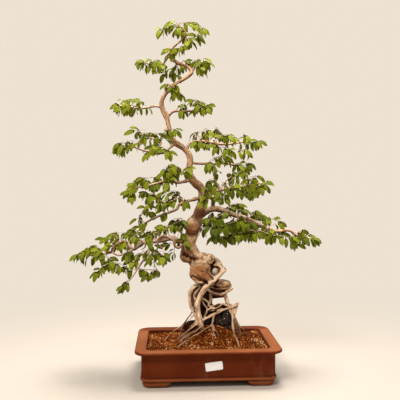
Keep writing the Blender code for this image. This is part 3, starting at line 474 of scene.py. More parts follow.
def between(a, b, c, d, t):
    """A value of the Catmull-Rom curve from b to c, with a before them and d after."""
    return 0.5 * (2 * b + (c - a) * t + (2 * a - 5 * b + 4 * c - d) * t ** 2
                  + (3 * b - a - 3 * c + d) * t ** 3)


def smooth_path(points, step):
    """Points about a step apart on a smooth curve. A point may carry a radius as its fourth value."""
    points = [Vector(p) for p in points]
    padded = [points[0] * 2 - points[1]] + points + [points[-1] * 2 - points[-2]]
    path = []
    for corners in zip(padded, padded[1:], padded[2:], padded[3:]):
        pieces = max(1, round((corners[2] - corners[1]).length / step))
        for i in range(pieces):
            path.append(Vector([between(*values, i / pieces) for values in zip(*corners)]))
    path.append(points[-1])
    return path


def seen_path(points, step):
    """A smooth path in the shared frame through front-elevation points."""
    return smooth_path([seen(*p) for p in points], step)


def trunk_path(step):
    """The trunk's middle line in the shared frame, with its radius as the fourth value."""
    return smooth_path([(*seen(*place[:3]), place[3]) for place in TRUNK], step)


def tapered(path, start, end):
    """A radius for each point of a path, from start to end."""
    last = max(len(path) - 1, 1)
    return [start + (end - start) * i / last for i in range(len(path))]


def search_tree(points):
    """A tree that finds the nearest of some points."""
    tree = KDTree(len(points))
    for i, point in enumerate(points):
        tree.insert(point, i)
    tree.balance()
    return tree


# ---- Small tools for node trees

def put(tree, kind, inputs=(), **settings):
    """Adds a node. A socket given as an input's value is linked to it."""
    made = tree.nodes.new(kind)
    for key, value in settings.items():
        setattr(made, key, value)
    for key, value in dict(inputs).items():
        if isinstance(value, bpy.types.NodeSocket):
            tree.links.new(value, made.inputs[key])
        else:
            made.inputs[key].default_value = value
    return made


def maths(tree, operation, a, b=0.0, clamp=False):
    return put(tree, "ShaderNodeMath", {0: a, 1: b}, operation=operation, use_clamp=clamp).outputs[0]


def plus(tree, a, b, clamp=False):
    return maths(tree, "ADD", a, b, clamp)


def minus(tree, a, b):
    return maths(tree, "SUBTRACT", a, b)


def times(tree, a, b, clamp=False):
    return maths(tree, "MULTIPLY", a, b, clamp)


def split(tree, vector):
    """The x, y and z of a vector."""
    return put(tree, "ShaderNodeSeparateXYZ", {0: vector}).outputs


def ramp(tree, factor, stops):
    """A colour ramp through (position, colour) stops; a number stands for a grey."""
    made = put(tree, "ShaderNodeValToRGB", {"Fac": factor})
    elements = made.color_ramp.elements
    while len(elements) < len(stops):
        elements.new(0.5)
    for element, (position, colour) in zip(elements, stops):
        element.position = position
        element.color = (*colour, 1.0) if isinstance(colour, tuple) else (colour, colour, colour, 1.0)
    return made.outputs["Color"]


def mix(tree, factor, a, b):
    """A colour between a and b, each a colour or a socket."""
    ends = [value if isinstance(value, bpy.types.NodeSocket) else (*value, 1.0) for value in (a, b)]
    return put(tree, "ShaderNodeMix", {0: factor, 6: ends[0], 7: ends[1]}, data_type="RGBA").outputs[2]


def new_material(name, roughness=0.7, specular=0.5):
    """A material with its tree and its Principled shader."""
    made = bpy.data.materials.new(name)
    made.use_nodes = True
    shader = made.node_tree.nodes["Principled BSDF"]
    shader.inputs["Roughness"].default_value = roughness
    shader.inputs["Specular IOR Level"].default_value = specular
    return made, made.node_tree, shader


def new_group(name, inputs, outputs):
    """A shader group with named float, colour or vector sockets, and its two end nodes."""
    tree = bpy.data.node_groups.new(name, "ShaderNodeTree")
    for label, kind, value in inputs:
        socket = tree.interface.new_socket(name=label, in_out="INPUT", socket_type="NodeSocket" + kind)
        if value is not None:
            socket.default_value = value
    for label, kind in outputs:
        tree.interface.new_socket(name=label, in_out="OUTPUT", socket_type="NodeSocket" + kind)
    return tree, tree.nodes.new("NodeGroupInput"), tree.nodes.new("NodeGroupOutput")


def use_group(tree, group, inputs):
    """The mask that a shader group gives for these inputs."""
    return put(tree, "ShaderNodeGroup", inputs, node_tree=group).outputs["Mask"]


def where(tree):
    """Object coordinates."""
    return put(tree, "ShaderNodeTexCoord").outputs["Object"]


def attribute(tree, name, output="Fac"):
    """A value or vector stored on the mesh."""
    return put(tree, "ShaderNodeAttribute", attribute_name=name).outputs[output]


def facing_up(tree):
    """1 where a surface faces up, 0 where it is upright, -1 where it faces down."""
    return split(tree, put(tree, "ShaderNodeNewGeometry").outputs["Normal"])[2]


def noise_at(tree, vector, scale, detail=4.0, roughness=0.6):
    """Cloudy noise from 0 to 1."""
    return put(tree, "ShaderNodeTexNoise", {"Vector": vector, "Scale": scale, "Detail": detail,
                                            "Roughness": roughness}).outputs["Fac"]


def make_mottle_group():
    """Cloudy variation of two sizes, as a mask from 0 to 1 around the middle."""
    tree, source, sink = new_group(
        "mottle", (("Vector", "Vector", None), ("Coarse", "Float", 40.0), ("Fine", "Float", 400.0),
                   ("Contrast", "Float", 1.5)), (("Mask", "Float"),))
    coarse = noise_at(tree, source.outputs["Vector"], source.outputs["Coarse"], 5.0)
    fine = noise_at(tree, source.outputs["Vector"], source.outputs["Fine"], 3.0)
    both = plus(tree, times(tree, coarse, 0.65), times(tree, fine, 0.35))
    centred = times(tree, minus(tree, both, 0.5), source.outputs["Contrast"])
    tree.links.new(plus(tree, centred, 0.5, clamp=True), sink.inputs["Mask"])
    return tree


def make_fibre_group():
    """Streaks that run along the wood, from its grain attribute."""
    tree, source, sink = new_group(
        "fibre", (("Grain", "Vector", None), ("Scale", "Float", 500.0), ("Stretch", "Float", 0.12)),
        (("Mask", "Float"),))
    scale = put(tree, "ShaderNodeCombineXYZ", {0: 1.0, 1: 1.0, 2: source.outputs["Stretch"]}).outputs[0]
    along = put(tree, "ShaderNodeVectorMath", {0: source.outputs["Grain"], 1: scale},
                operation="MULTIPLY").outputs[0]
    wavy = noise_at(tree, along, source.outputs["Scale"], 5.0, 0.65)
    tree.links.new(wavy, sink.inputs["Mask"])
    return tree


MOTTLE = make_mottle_group()
FIBRE = make_fibre_group()


def clouds(tree, coarse, fine, contrast):
    """Cloudy variation over an object, as a mask around the middle."""
    return use_group(tree, MOTTLE, {"Vector": where(tree), "Coarse": coarse, "Fine": fine,
                                    "Contrast": contrast})


def paint(tree, shader, colour, height, strength, distance):
    """Gives a shader its colour and a relief, whose distance is in millimetres."""
    relief = put(tree, "ShaderNodeBump", {"Height": height, "Strength": strength,
                                          "Distance": distance * MM})
    tree.links.new(colour, shader.inputs["Base Color"])
    tree.links.new(relief.outputs[0], shader.inputs["Normal"])


# ---- Materials

def old_bark():
    """Tan bark, orange-brown in patches, with streaks along the grain; painted shade makes it red-brown
    where it faces down and nearly black in its recesses and creases.
    """
    made, tree, shader = new_material("old_bark", 0.75, 0.05)
    hollow = attribute(tree, "hollow")
    fibre = use_group(tree, FIBRE, {"Grain": attribute(tree, "grain", "Vector"), "Scale": 420.0,
                                    "Stretch": 0.10})
    patches = clouds(tree, 55.0, 260.0, 2.4)
    old = ramp(tree, fibre, ((0.30, (0.18, 0.070, 0.024)), (0.47, (0.54, 0.310, 0.150)),
                             (0.68, (0.86, 0.62, 0.39))))
    pale = ramp(tree, fibre, ((0.30, (0.30, 0.150, 0.085)), (0.46, (0.86, 0.58, 0.36)),
                              (0.66, (0.96, 0.80, 0.59))))
    wood = mix(tree, attribute(tree, "tone"), old, pale)
    share = plus(tree, times(tree, patches, 0.62), times(tree, attribute(tree, "rust"), 0.44))
    rusty = mix(tree, ramp(tree, share, ((0.32, 0.0), (0.85, 0.9))), wood, (0.27, 0.096, 0.025))
    # Painted shade: bark that faces down turns dark red-brown
    below = ramp(tree, plus(tree, times(tree, facing_up(tree), -0.5), 0.5), ((0.45, 0.0), (0.84, 0.92)))
    shaded = mix(tree, below, rusty, (0.120, 0.036, 0.012))
    # Painted shade: brown in creases and sheltered places, nearly black where the wood is most closed in
    brown = mix(tree, ramp(tree, hollow, ((0.12, 0.0), (0.62, 1.0))), shaded, (0.100, 0.032, 0.011))
    dark = mix(tree, ramp(tree, hollow, ((0.55, 0.0), (0.95, 1.0))), brown, (0.018, 0.006, 0.003))
    relief = plus(tree, times(tree, fibre, 0.7), times(tree, patches, 0.5))
    paint(tree, shader, dark, relief, 0.8, 0.9)
    return made


def young_bark():
    """Bark of branches and twigs, tan, bare and pale in places where it faces up, with painted shade making
    it red-brown where it faces down.
    """
    made, tree, shader = new_material("young_bark", 0.7, 0.08)
    specks = clouds(tree, 120.0, 900.0, 2.2)
    # Painted light and shade: the tan shows where the bark faces up, the red-brown where it faces down
    above = times(tree, plus(tree, facing_up(tree), 0.7), 0.85, clamp=True)
    tan = ramp(tree, specks, ((0.3, (0.33, 0.145, 0.066)), (0.6, (0.70, 0.42, 0.235))))
    bare = ramp(tree, noise_at(tree, where(tree), 30.0, 2.0), ((0.43, 0.0), (0.56, 0.85)))
    top = mix(tree, bare, tan, (0.84, 0.62, 0.44))
    paint(tree, shader, mix(tree, above, (0.085, 0.022, 0.009), top), specks, 0.5, 0.4)
    return made


def leaf_green():
    """Toothed hornbeam leaves: pale parallel veins, a paler underside, and a tint for each leaf that
    carries a random tone with painted light and shade.
    """
    made, tree, shader = new_material("leaf_green", 0.5, 0.08)
    across_uv, along = split(tree, put(tree, "ShaderNodeUVMap", uv_map="UVMap").outputs[0])[:2]
    under = maths(tree, "GREATER_THAN", across_uv, 1.5)
    both_sides = minus(tree, across_uv, times(tree, under, 2.0))
    across = maths(tree, "ABSOLUTE", minus(tree, both_sides, 0.5))
    slant = minus(tree, along, times(tree, across, 0.55))
    wave = maths(tree, "ABSOLUTE", maths(tree, "SINE", times(tree, slant, 36.0)))
    side_vein = ramp(tree, wave, ((0.0, 1.0), (0.28, 0.0)))
    midrib = ramp(tree, across, ((0.0, 1.0), (0.045, 0.0)))
    vein = maths(tree, "MAXIMUM", times(tree, side_vein, 0.55), midrib)
    cloud = clouds(tree, 160.0, 900.0, 1.2)
    shade = plus(tree, attribute(tree, "tint"), times(tree, minus(tree, cloud, 0.5), 0.35))
    green = ramp(tree, shade, ((0.0, (0.034, 0.048, 0.001)), (0.35, (0.120, 0.143, 0.003)),
                               (0.65, (0.205, 0.220, 0.007)), (1.0, (0.315, 0.298, 0.021))))
    veined = mix(tree, times(tree, vein, 0.24), green, (0.42, 0.42, 0.05))
    outline = maths(tree, "POWER", maths(tree, "SINE", times(tree, along, math.pi)), 0.75)
    rim = ramp(tree, maths(tree, "DIVIDE", across, outline), ((0.38, 0.0), (0.50, 0.26)))
    rimmed = mix(tree, rim, veined, (0.44, 0.44, 0.06))
    sided = mix(tree, times(tree, under, 0.35), rimmed, (0.22, 0.25, 0.030))
    paint(tree, shader, sided, minus(tree, 1.0, vein), 0.5, 0.25)
    return made


def red_clay():
    """Unglazed red-brown clay, with faint water marks. Its rim, belt and feet take a paler copy of the
    clay, partly paler clay and partly a painted highlight, and painted shade darkens the front, the back,
    the crease above the belt and the one under the lip.
    """
    made, tree, shader = new_material("red_clay", 0.7, 0.06)
    coords = where(tree)
    depth, height = split(tree, coords)[1:3]
    decimetres = times(tree, height, 10.0)
    cloud = clouds(tree, 18.0, 350.0, 2.0)
    # The rim colour is a lighter copy of the wall's clay: partly paler clay, partly painted light
    wall = ramp(tree, cloud, ((0.25, (0.085, 0.0125, 0.002)), (0.75, (0.120, 0.0205, 0.004))))
    rim = ramp(tree, cloud, ((0.25, (0.33, 0.100, 0.032)), (0.75, (0.42, 0.142, 0.050))))
    # Where the rim colour shows, by height: the feet, the belt and the lip's top; on the belt and the lip's
    # top it is a painted highlight
    rim_share = ramp(tree, decimetres, (
        (0.0, 0.72), (0.12, 0.72), (0.138, 0.80), (0.158, 0.98), (0.185, 0.68), (0.205, 0.0), (0.70, 0.0),
        (0.735, 0.10), (0.750, 0.38), (0.757, 0.92)))
    # Painted light from above: where the clay faces up it is lighter
    level = ramp(tree, facing_up(tree), ((0.30, 0.72), (0.92, 1.0)))
    # Painted shade darkens the front and, more, the back of the pot
    shade_front_and_back = ramp(tree, plus(tree, times(tree, depth, 5.0), 0.5),
                ((0.0, 0.66), (0.12, 0.76), (0.20, 0.96), (0.55, 1.0), (0.80, 0.80), (0.92, 0.20)))
    body = mix(tree, times(tree, rim_share, times(tree, level, shade_front_and_back)), wall, rim)
    # Painted shade in the crease above the belt and under the lip
    crease_shade = ramp(tree, decimetres, ((0.195, 0.0), (0.208, 0.55), (0.225, 0.55), (0.245, 0.0),
                                   (0.655, 0.0), (0.685, 0.45), (0.705, 0.45), (0.73, 0.0)))
    crease_shaded = mix(tree, crease_shade, body, (0.040, 0.005, 0.001))
    upright = put(tree, "ShaderNodeMapping", {"Vector": coords, "Scale": (1.0, 1.0, 0.35)}).outputs[0]
    bloom = ramp(tree, noise_at(tree, upright, 22.0, 6.0), ((0.58, 0.0), (0.78, 0.20)))
    bloomed = mix(tree, bloom, crease_shaded, (0.36, 0.20, 0.14))
    fine = noise_at(tree, coords, 900.0, 4.0)
    tree.links.new(plus(tree, times(tree, fine, 0.25), 0.48), shader.inputs["Roughness"])
    paint(tree, shader, bloomed, plus(tree, fine, times(tree, cloud, 0.8)), 0.35, 0.35)
    return made


def moist_soil():
    """The bed under the granules: dark red-brown crumbs."""
    made, tree, shader = new_material("moist_soil", 0.9, 0.04)
    crumbs = put(tree, "ShaderNodeTexVoronoi", {"Vector": where(tree), "Scale": 420.0})
    tone = ramp(tree, put(tree, "ShaderNodeSeparateColor", {0: crumbs.outputs["Color"]}).outputs[0],
                ((0.0, (0.030, 0.005, 0.001)), (0.6, (0.120, 0.024, 0.003)), (1.0, (0.26, 0.07, 0.010))))
    paint(tree, shader, tone, crumbs.outputs["Distance"], 0.8, 1.5)
    return made


def granule_clay():
    """Loose granules: orange-brown, some dark, some pale, a few nearly white."""
    made, tree, shader = new_material("granule_clay", 0.75, 0.05)
    tone = ramp(tree, attribute(tree, "tint"), (
        (0.0, (0.045, 0.007, 0.001)), (0.22, (0.150, 0.026, 0.002)), (0.48, (0.350, 0.080, 0.008)),
        (0.74, (0.620, 0.200, 0.030)), (0.93, (0.800, 0.390, 0.120)), (1.0, (0.880, 0.700, 0.480))))
    pits = noise_at(tree, where(tree), 1400.0, 3.0)
    paint(tree, shader, mix(tree, times(tree, pits, 0.45), tone, (0.06, 0.02, 0.01)), pits, 0.6, 0.5)
    return made


def dull_stone():
    """Pale brown-grey pebble."""
    made, tree, shader = new_material("dull_stone", 0.6, 0.4)
    cloud = clouds(tree, 130.0, 1200.0, 2.0)
    tone = ramp(tree, cloud, ((0.2, (0.20, 0.14, 0.10)), (0.55, (0.46, 0.37, 0.29)),
                              (0.85, (0.72, 0.63, 0.52))))
    paint(tree, shader, tone, cloud, 0.4, 0.5)
    return made


def wet_stone():
    """Nearly black stone, unevenly glossy with wet, with pale specks that are painted glints."""
    made, tree, shader = new_material("wet_stone", 0.35, 0.12)
    shader.inputs["Coat Weight"].default_value = 0.22
    shader.inputs["Coat Roughness"].default_value = 0.05
    cloud = clouds(tree, 60.0, 500.0, 2.5)
    tone = ramp(tree, cloud, ((0.3, (0.006, 0.003, 0.002)), (0.7, (0.030, 0.014, 0.009)),
                              (1.0, (0.12, 0.055, 0.030))))
    # Painted glints: small pale specks
    painted_glint = ramp(tree, noise_at(tree, where(tree), 240.0, 1.0), ((0.68, 0.0), (0.74, 0.9)))
    tree.links.new(plus(tree, times(tree, cloud, 0.25), 0.25), shader.inputs["Roughness"])
    paint(tree, shader, mix(tree, painted_glint, tone, (0.62, 0.54, 0.46)), cloud, 0.9, 3.4)
    return made


def plain_paper():
    """Blank sticker paper, very slightly yellowed and uneven."""
    made, tree, shader = new_material("plain_paper", 0.5, 0.45)
    cloud = clouds(tree, 60.0, 1500.0, 1.2)
    tone = ramp(tree, cloud, ((0.2, (0.74, 0.72, 0.68)), (0.8, (0.86, 0.855, 0.84))))
    paint(tree, shader, tone, cloud, 0.15, 0.1)
    return made


def black_mesh():
    """Black plastic of the drainage screens, a little worn."""
    made, tree, shader = new_material("black_mesh", 0.55, 0.4)
    wear = clouds(tree, 150.0, 900.0, 1.5)
    tone = ramp(tree, wear, ((0.2, (0.008, 0.008, 0.008)), (0.9, (0.045, 0.035, 0.030))))
    paint(tree, shader, tone, wear, 0.3, 0.2)
    return made


def studio_floor():
    """A pale floor that melts into the same colour as the air around it."""
    made, tree, shader = new_material("studio_floor", 0.9, 0.1)
    shader.inputs["Base Color"].default_value = (0.52, 0.455, 0.385, 1.0)
    away = put(tree, "ShaderNodeVectorMath", {0: where(tree)}, operation="LENGTH").outputs["Value"]
    far = put(tree, "ShaderNodeMapRange", {0: away, 1: 0.22, 2: 1.1, 3: 0.0, 4: 1.0},
              interpolation_type="SMOOTHSTEP").outputs[0]
    glow = put(tree, "ShaderNodeEmission", {"Color": (*BACKDROP, 1.0), "Strength": 1.0})
    in_view = times(tree, far, put(tree, "ShaderNodeLightPath").outputs["Is Camera Ray"])
    blend = put(tree, "ShaderNodeMixShader", {0: in_view, 1: shader.outputs[0], 2: glow.outputs[0]})
    tree.links.new(blend.outputs[0], tree.nodes["Material Output"].inputs["Surface"])
    return made


# ---- Geometry Nodes

def geometry_tree(name, inputs):
    """A tree with a geometry input and output and further named inputs."""
    tree = bpy.data.node_groups.new(name, "GeometryNodeTree")
    tree.interface.new_socket(name="Geometry", in_out="INPUT", socket_type="NodeSocketGeometry")
    for label, kind in inputs:
        tree.interface.new_socket(name=label, in_out="INPUT", socket_type="NodeSocket" + kind)
    tree.interface.new_socket(name="Geometry", in_out="OUTPUT", socket_type="NodeSocketGeometry")
    return tree, tree.nodes.new("NodeGroupInput"), tree.nodes.new("NodeGroupOutput")


def run_tree(made, tree, values):
    """Runs a geometry tree on an object and keeps the result as its plain mesh."""
    modifier = made.modifiers.new(tree.name, "NODES")
    modifier.node_group = tree
    identifiers = {item.name: item.identifier for item in tree.interface.items_tree
                   if item.in_out == "INPUT"}
    for label, value in values.items():
        modifier[identifiers[label]] = value
    apply_modifiers(made)


def named(tree, name, kind):
    """A value or vector stored on each point."""
    return put(tree, "GeometryNodeInputNamedAttribute", {"Name": name}, data_type=kind).outputs["Attribute"]


def set_prototypes(tree, source, points, kind, turn, size):
    """Puts one of the prototypes on each point and makes the copies real."""
    shapes = put(tree, "GeometryNodeCollectionInfo", {
        "Collection": source.outputs["Prototypes"], "Separate Children": True, "Reset Children": True})
    copies = put(tree, "GeometryNodeInstanceOnPoints", {
        "Points": points, "Instance": shapes.outputs[0], "Pick Instance": True,
        "Instance Index": kind, "Rotation": turn, "Scale": size})
    return put(tree, "GeometryNodeRealizeInstances", {"Geometry": copies.outputs[0]}).outputs[0]


def close_tree(tree, source, sink, geometry):
    """Gives the geometry its finish and sends it out."""
    finished = put(tree, "GeometryNodeSetMaterial", {"Geometry": geometry,
                                                     "Material": source.outputs["Finish"]})
    tree.links.new(finished.outputs[0], sink.inputs[0])
    return tree


def make_scatter_tree():
    """Puts the prototype named by "kind" on each point, turned by "turn" and scaled by "size"."""
    tree, source, sink = geometry_tree("scatter_by_attribute", (("Prototypes", "Collection"),
                                                                ("Finish", "Material")))
    real = set_prototypes(tree, source, source.outputs["Geometry"], named(tree, "kind", "INT"),
                          named(tree, "turn", "FLOAT_VECTOR"), named(tree, "size", "FLOAT"))
    return close_tree(tree, source, sink, real)


def make_twig_tree():
    """Turns polylines into round wood, with the radius in their "thickness"."""
    tree, source, sink = geometry_tree("round_wood", (("Sides", "Int"), ("Finish", "Material")))
    curve = put(tree, "GeometryNodeMeshToCurve", {"Mesh": source.outputs["Geometry"]})
    thickness = named(tree, "thickness", "FLOAT")
    thick = put(tree, "GeometryNodeSetCurveRadius", {"Curve": curve.outputs[0], "Radius": thickness})
    profile = put(tree, "GeometryNodeCurvePrimitiveCircle", {"Resolution": source.outputs["Sides"],
                                                             "Radius": 1.0})
    wood = put(tree, "GeometryNodeCurveToMesh", {
        "Curve": thick.outputs[0], "Profile Curve": profile.outputs["Curve"], "Scale": thickness,
        "Fill Caps": True})
    smooth = put(tree, "GeometryNodeSetShadeSmooth", {"Geometry": wood.outputs[0]})
    return close_tree(tree, source, sink, smooth.outputs[0])


def random_value(tree, kind, seed, limits, output):
    """A random value for each point, between limits given by socket."""
    return put(tree, "FunctionNodeRandomValue", {**limits, "Seed": seed}, data_type=kind).outputs[output]


def make_granule_tree():
    """Strews granules over a surface, evenly apart, each with its own size, turn and tint."""
    tree, source, sink = geometry_tree("strewn_granules", (
        ("Prototypes", "Collection"), ("Spacing", "Float"), ("Smallest", "Float"), ("Largest", "Float"),
        ("Seed", "Int"), ("Finish", "Material")))
    spots = put(tree, "GeometryNodeDistributePointsOnFaces", {
        "Mesh": source.outputs["Geometry"], "Distance Min": source.outputs["Spacing"],
        "Density Max": 900000.0, "Seed": source.outputs["Seed"]}, distribute_method="POISSON")
    chance = random_value(tree, "FLOAT", 7, {}, 1)
    patch = put(tree, "ShaderNodeTexNoise", {"Vector": put(tree, "GeometryNodeInputPosition").outputs[0],
                                             "Scale": 26.0, "Detail": 2.0}).outputs["Fac"]
    lean = times(tree, minus(tree, patch, 0.54), 1.7)
    tint = plus(tree, maths(tree, "POWER", chance, 1.25), lean, clamp=True)
    tinted = put(tree, "GeometryNodeStoreNamedAttribute", {
        "Geometry": spots.outputs["Points"], "Name": "tint", "Value": tint},
        data_type="FLOAT", domain="POINT")
    turn = random_value(tree, "FLOAT_VECTOR", 3, {0: (0.0, 0.0, 0.0), 1: (6.28, 6.28, 6.28)}, 0)
    size = random_value(tree, "FLOAT", 5, {2: source.outputs["Smallest"], 3: source.outputs["Largest"]}, 1)
    kind = random_value(tree, "INT", 11, {4: 0, 5: 2}, 2)
    real = set_prototypes(tree, source, tinted.outputs[0], kind, turn, size)
    return close_tree(tree, source, sink, real)


# ---- Wood of the trunk, the knot and the roots

def wavering(path, amount, seed):
    """A path with small bends of its own, still at both ends."""
    made = []
    for i, point in enumerate(path):
        hold = min(1.0, i / 3, (len(path) - 1 - i) / 3)
        drift = noise.noise_vector(Vector((i * 0.31, seed * 7.3, 0.0))) * amount * hold
        made.append(point + drift)
    return made


def ring_frames(path):
    """For each point of a path: direction along it, and two directions across that don't twist."""
    side = Vector((0, 1, 0))
    frames = []
    for i in range(len(path)):
        along = (path[min(i + 1, len(path) - 1)] - path[max(i - 1, 0)]).normalized()
        side = (side - along * side.dot(along)).normalized()
        frames.append((along, side, along.cross(side)))
    return frames


def wood_tube(name, path, radii, sides, seed, rough):
    """A closed tube whose radius wavers along and round it."""
    rings = []
    for i, (point, (_, side, other)) in enumerate(zip(path, ring_frames(path))):
        ring = []
        for k in range(sides):
            turn = math.tau * k / sides
            spot = Vector((math.cos(turn) * 1.3, math.sin(turn) * 1.3, i * 0.22 + seed * 11.7))
            radius = radii[i] * (1 + rough * noise.noise(spot))
            ring.append(point + (side * math.cos(turn) + other * math.sin(turn)) * radius)
        rings.append(ring)
    return object_from(name, *loft(rings))


def lump(name, centre, radii, detail, dents):
    """A dented ellipsoid."""
    shape = bmesh.new()
    bmesh.ops.create_icosphere(shape, subdivisions=detail, radius=1.0)
    vertices = []
    for vertex in shape.verts:
        p = vertex.co
        dent = 1 + dents * noise.noise(p * 1.7 + centre * 0.1) * 2
        vertices.append(centre + Vector([p[k] * (radii[k] * dent) for k in range(3)]))
    faces = [[v.index for v in face.verts] for face in shape.faces]
    shape.free()
    return object_from(name, vertices, faces)


def branch_line(name):
    """Path of a branch from the trunk's middle line, and its radii, which shrink fast at first."""
    points, start, end = BRANCHES[name][:3]
    path = seen_path(points, WOOD_STEP)
    last = len(path) - 1
    return path, [start + (1.15 * end - start) * (i / last) ** 1.5 for i in range(len(path))]


def stub_size(name, path):
    """How many points of a branch's path are its stub on the trunk.

    As in the part's source, a stub reaches a little past the trunk's bark.
    """
    points, start = BRANCHES[name][:2]
    root = seen(*points[0])
    near = min(TRUNK, key=lambda place: (seen(*place[:3]) - root).length)
    length = 1.1 * near[3] + start
    walked = 0.0
    for i in range(1, len(path) - 1):
        walked += (path[i] - path[i - 1]).length
        if walked > length:
            break
    return i + 1


def wood_lines():
    """Name, path, radii and paleness of every tube of the trunk and roots."""
    line = trunk_path(WOOD_STEP)
    lines = [("trunk", [p.to_3d() for p in line], [p[3] for p in line], 0.0)]
    for index, (name, (points, start, end)) in enumerate(ROOTS.items()):
        path = seen_path(points, WOOD_STEP)
        path.append(path[-1] + (path[-1] - path[-2]))
        paleness = ROOT_PALENESS.get(name, 0.6)
        lines.append((name, wavering(path, ROOT_DRIFT, index + 1), tapered(path, start, end), paleness))
    for name in BRANCHES:
        path, radii = branch_line(name)
        size = stub_size(name, path)
        lines.append((name + "_stub", path[:size], radii[:size], 0.1))
    return lines


def nearest_grain(points, lines):
    """For each point: its place in the frame of the nearest tube, and how pale that tube is."""
    centres, radii, frames, walked, tones = [], [], [], [], []
    for index, (_, path, sizes, tone) in enumerate(lines):
        distance = 37.0 * index  # so that no two tubes show the same streaks
        for i, (point, directions) in enumerate(zip(path, ring_frames(path))):
            distance += (point - path[i - 1]).length if i else 0.0
            centres.append(point)
            radii.append(sizes[i])
            frames.append([list(d) for d in directions])
            walked.append(distance)
            tones.append(tone)
    centres, frames = np.array(centres), np.array(frames)
    radii, walked, tones = np.array(radii), np.array(walked), np.array(tones)
    grain, tone = np.zeros_like(points), np.zeros(len(points))
    batch = 4000
    for start in range(0, len(points), batch):
        part = points[start:start + batch]
        away = np.linalg.norm(part[:, None, :] - centres[None, :, :], axis=2) - radii[None, :]
        best = away.argmin(1)
        local = np.einsum("nij,nj->ni", frames[best], part - centres[best])
        grain[start:start + batch] = np.stack([local[:, 1], local[:, 2], walked[best] + local[:, 0]], 1)
        tone[start:start + batch] = tones[best]
    return grain, tone


def elevation(points):
    """Front-elevation x and z of points in the shared frame."""
    flat = points - np.array(SHIFT)
    reach = (flat[:, 1] - EYE.y) / -EYE.y
    return np.stack([EYE.x + (flat[:, 0] - EYE.x) / reach, EYE.z + (flat[:, 2] - EYE.z) / reach], 1)


def distance_to_line(points, line):
    """Distance of flat points to a polyline."""
    nearest = np.full(len(points), 1e9)
    for a, b in zip(line, line[1:]):
        a, b = np.array(a, float), np.array(b, float)
        along = np.clip(((points - a) @ (b - a)) / ((b - a) @ (b - a)), 0, 1)
        nearest = np.minimum(nearest, np.linalg.norm(points - (a + along[:, None] * (b - a)), axis=1))
    return nearest


def patch(flat, middle, half, powers=(4, 4)):
    """1 in the middle of a place on the front elevation, falling off round it."""
    (x, z), (wide, tall) = middle, half
    return np.exp(-((flat[:, 0] - x) / wide) ** powers[0] - ((flat[:, 1] - z) / tall) ** powers[1])


def shelter(mesh, points, normals):
    """How closed in each point of a skin is, from 0 in the open to 1 deep in a recess: ambient occlusion
    that the wood's painted shade uses.
    """
    skin = BVHTree.FromPolygons([tuple(p) for p in points], [tuple(f.vertices) for f in mesh.polygons])
    side = np.cross(normals, (0.31, 0.87, 0.38))
    side /= np.linalg.norm(side, axis=1)[:, None] + 1e-9
    other = np.cross(normals, side)
    closed = np.zeros(len(points))
    starts = points + normals * 0.6
    # Rays as a lean away from the normal and a turn round it: one upright, five and six in two cones
    rays = [(0.0, 0.0)] + [(0.5, k * math.tau / 5) for k in range(5)]
    rays += [(0.85, 0.6 + k * math.tau / 6) for k in range(6)]
    for lean, turn in rays:
        level = math.sqrt(1 - lean * lean)
        ways = side * (lean * math.cos(turn)) + other * (lean * math.sin(turn)) + normals * level
        for i, (start, way) in enumerate(zip(starts.tolist(), ways.tolist())):
            distance = skin.ray_cast(start, way, SHELTER_REACH)[3]
            if distance is not None:
                closed[i] += (1 - distance / SHELTER_REACH * 0.7) / len(rays)
    return closed


def soften(mesh, values, rounds):
    """Averages values with their neighbours along the edges."""
    edges = np.zeros(len(mesh.edges) * 2, np.int32)
    mesh.edges.foreach_get("vertices", edges)
    a, b = edges.reshape(-1, 2).T
    count = np.bincount(a, minlength=len(values)) + np.bincount(b, minlength=len(values)) + 1.0
    for _ in range(rounds):
        total = (values + np.bincount(a, values[b], len(values)) + np.bincount(b, values[a], len(values)))
        values = total / count
    return values


def dents(flat, depth, front):
    """How far creases and pockets push the skin, and how dark their painted shade is."""
    push, dark = np.zeros(len(flat)), np.zeros(len(flat))
    for line, width, deep in CREASES:
        near = np.exp(-(distance_to_line(flat, line) / width) ** 2) * front
        push -= deep * near
        dark = np.maximum(dark, near ** 2 * 0.45)
    for middle, radius, deep, darkness in POCKETS:
        near = np.exp(-(np.linalg.norm(flat - np.array(middle), axis=1) / radius) ** 4) * front
        push -= deep * near * (depth > DENTED_BEHIND)
        dark = np.maximum(dark, near * darkness * (depth > DARKENED_BEHIND))
    return push, dark


def bark_relief(points, grain, tone):
    """Lumps, ridges along the grain and fine wrinkles, and how dark the painted shade in the furrows
    between the ridges is.
    """
    push, dark = np.zeros(len(points)), np.zeros(len(points))
    for i, (point, (across, other, along)) in enumerate(zip(points, grain)):
        lumps = noise.noise(Vector(point) * 0.055)
        ridges = noise.noise(Vector((across * 0.55, other * 0.55, along * 0.06)))
        fine = noise.noise(Vector((across * 1.1, other * 1.1, along * 0.16)))
        smoother = tone[i] > 0.5
        push[i] = (0.5 if smoother else 1.0) * (1.9 * lumps + 0.8 * ridges + 0.35 * fine)
        dark[i] = max(0.0, -ridges - 0.2) * (1.7 if smoother else 1.5)
    return push, dark


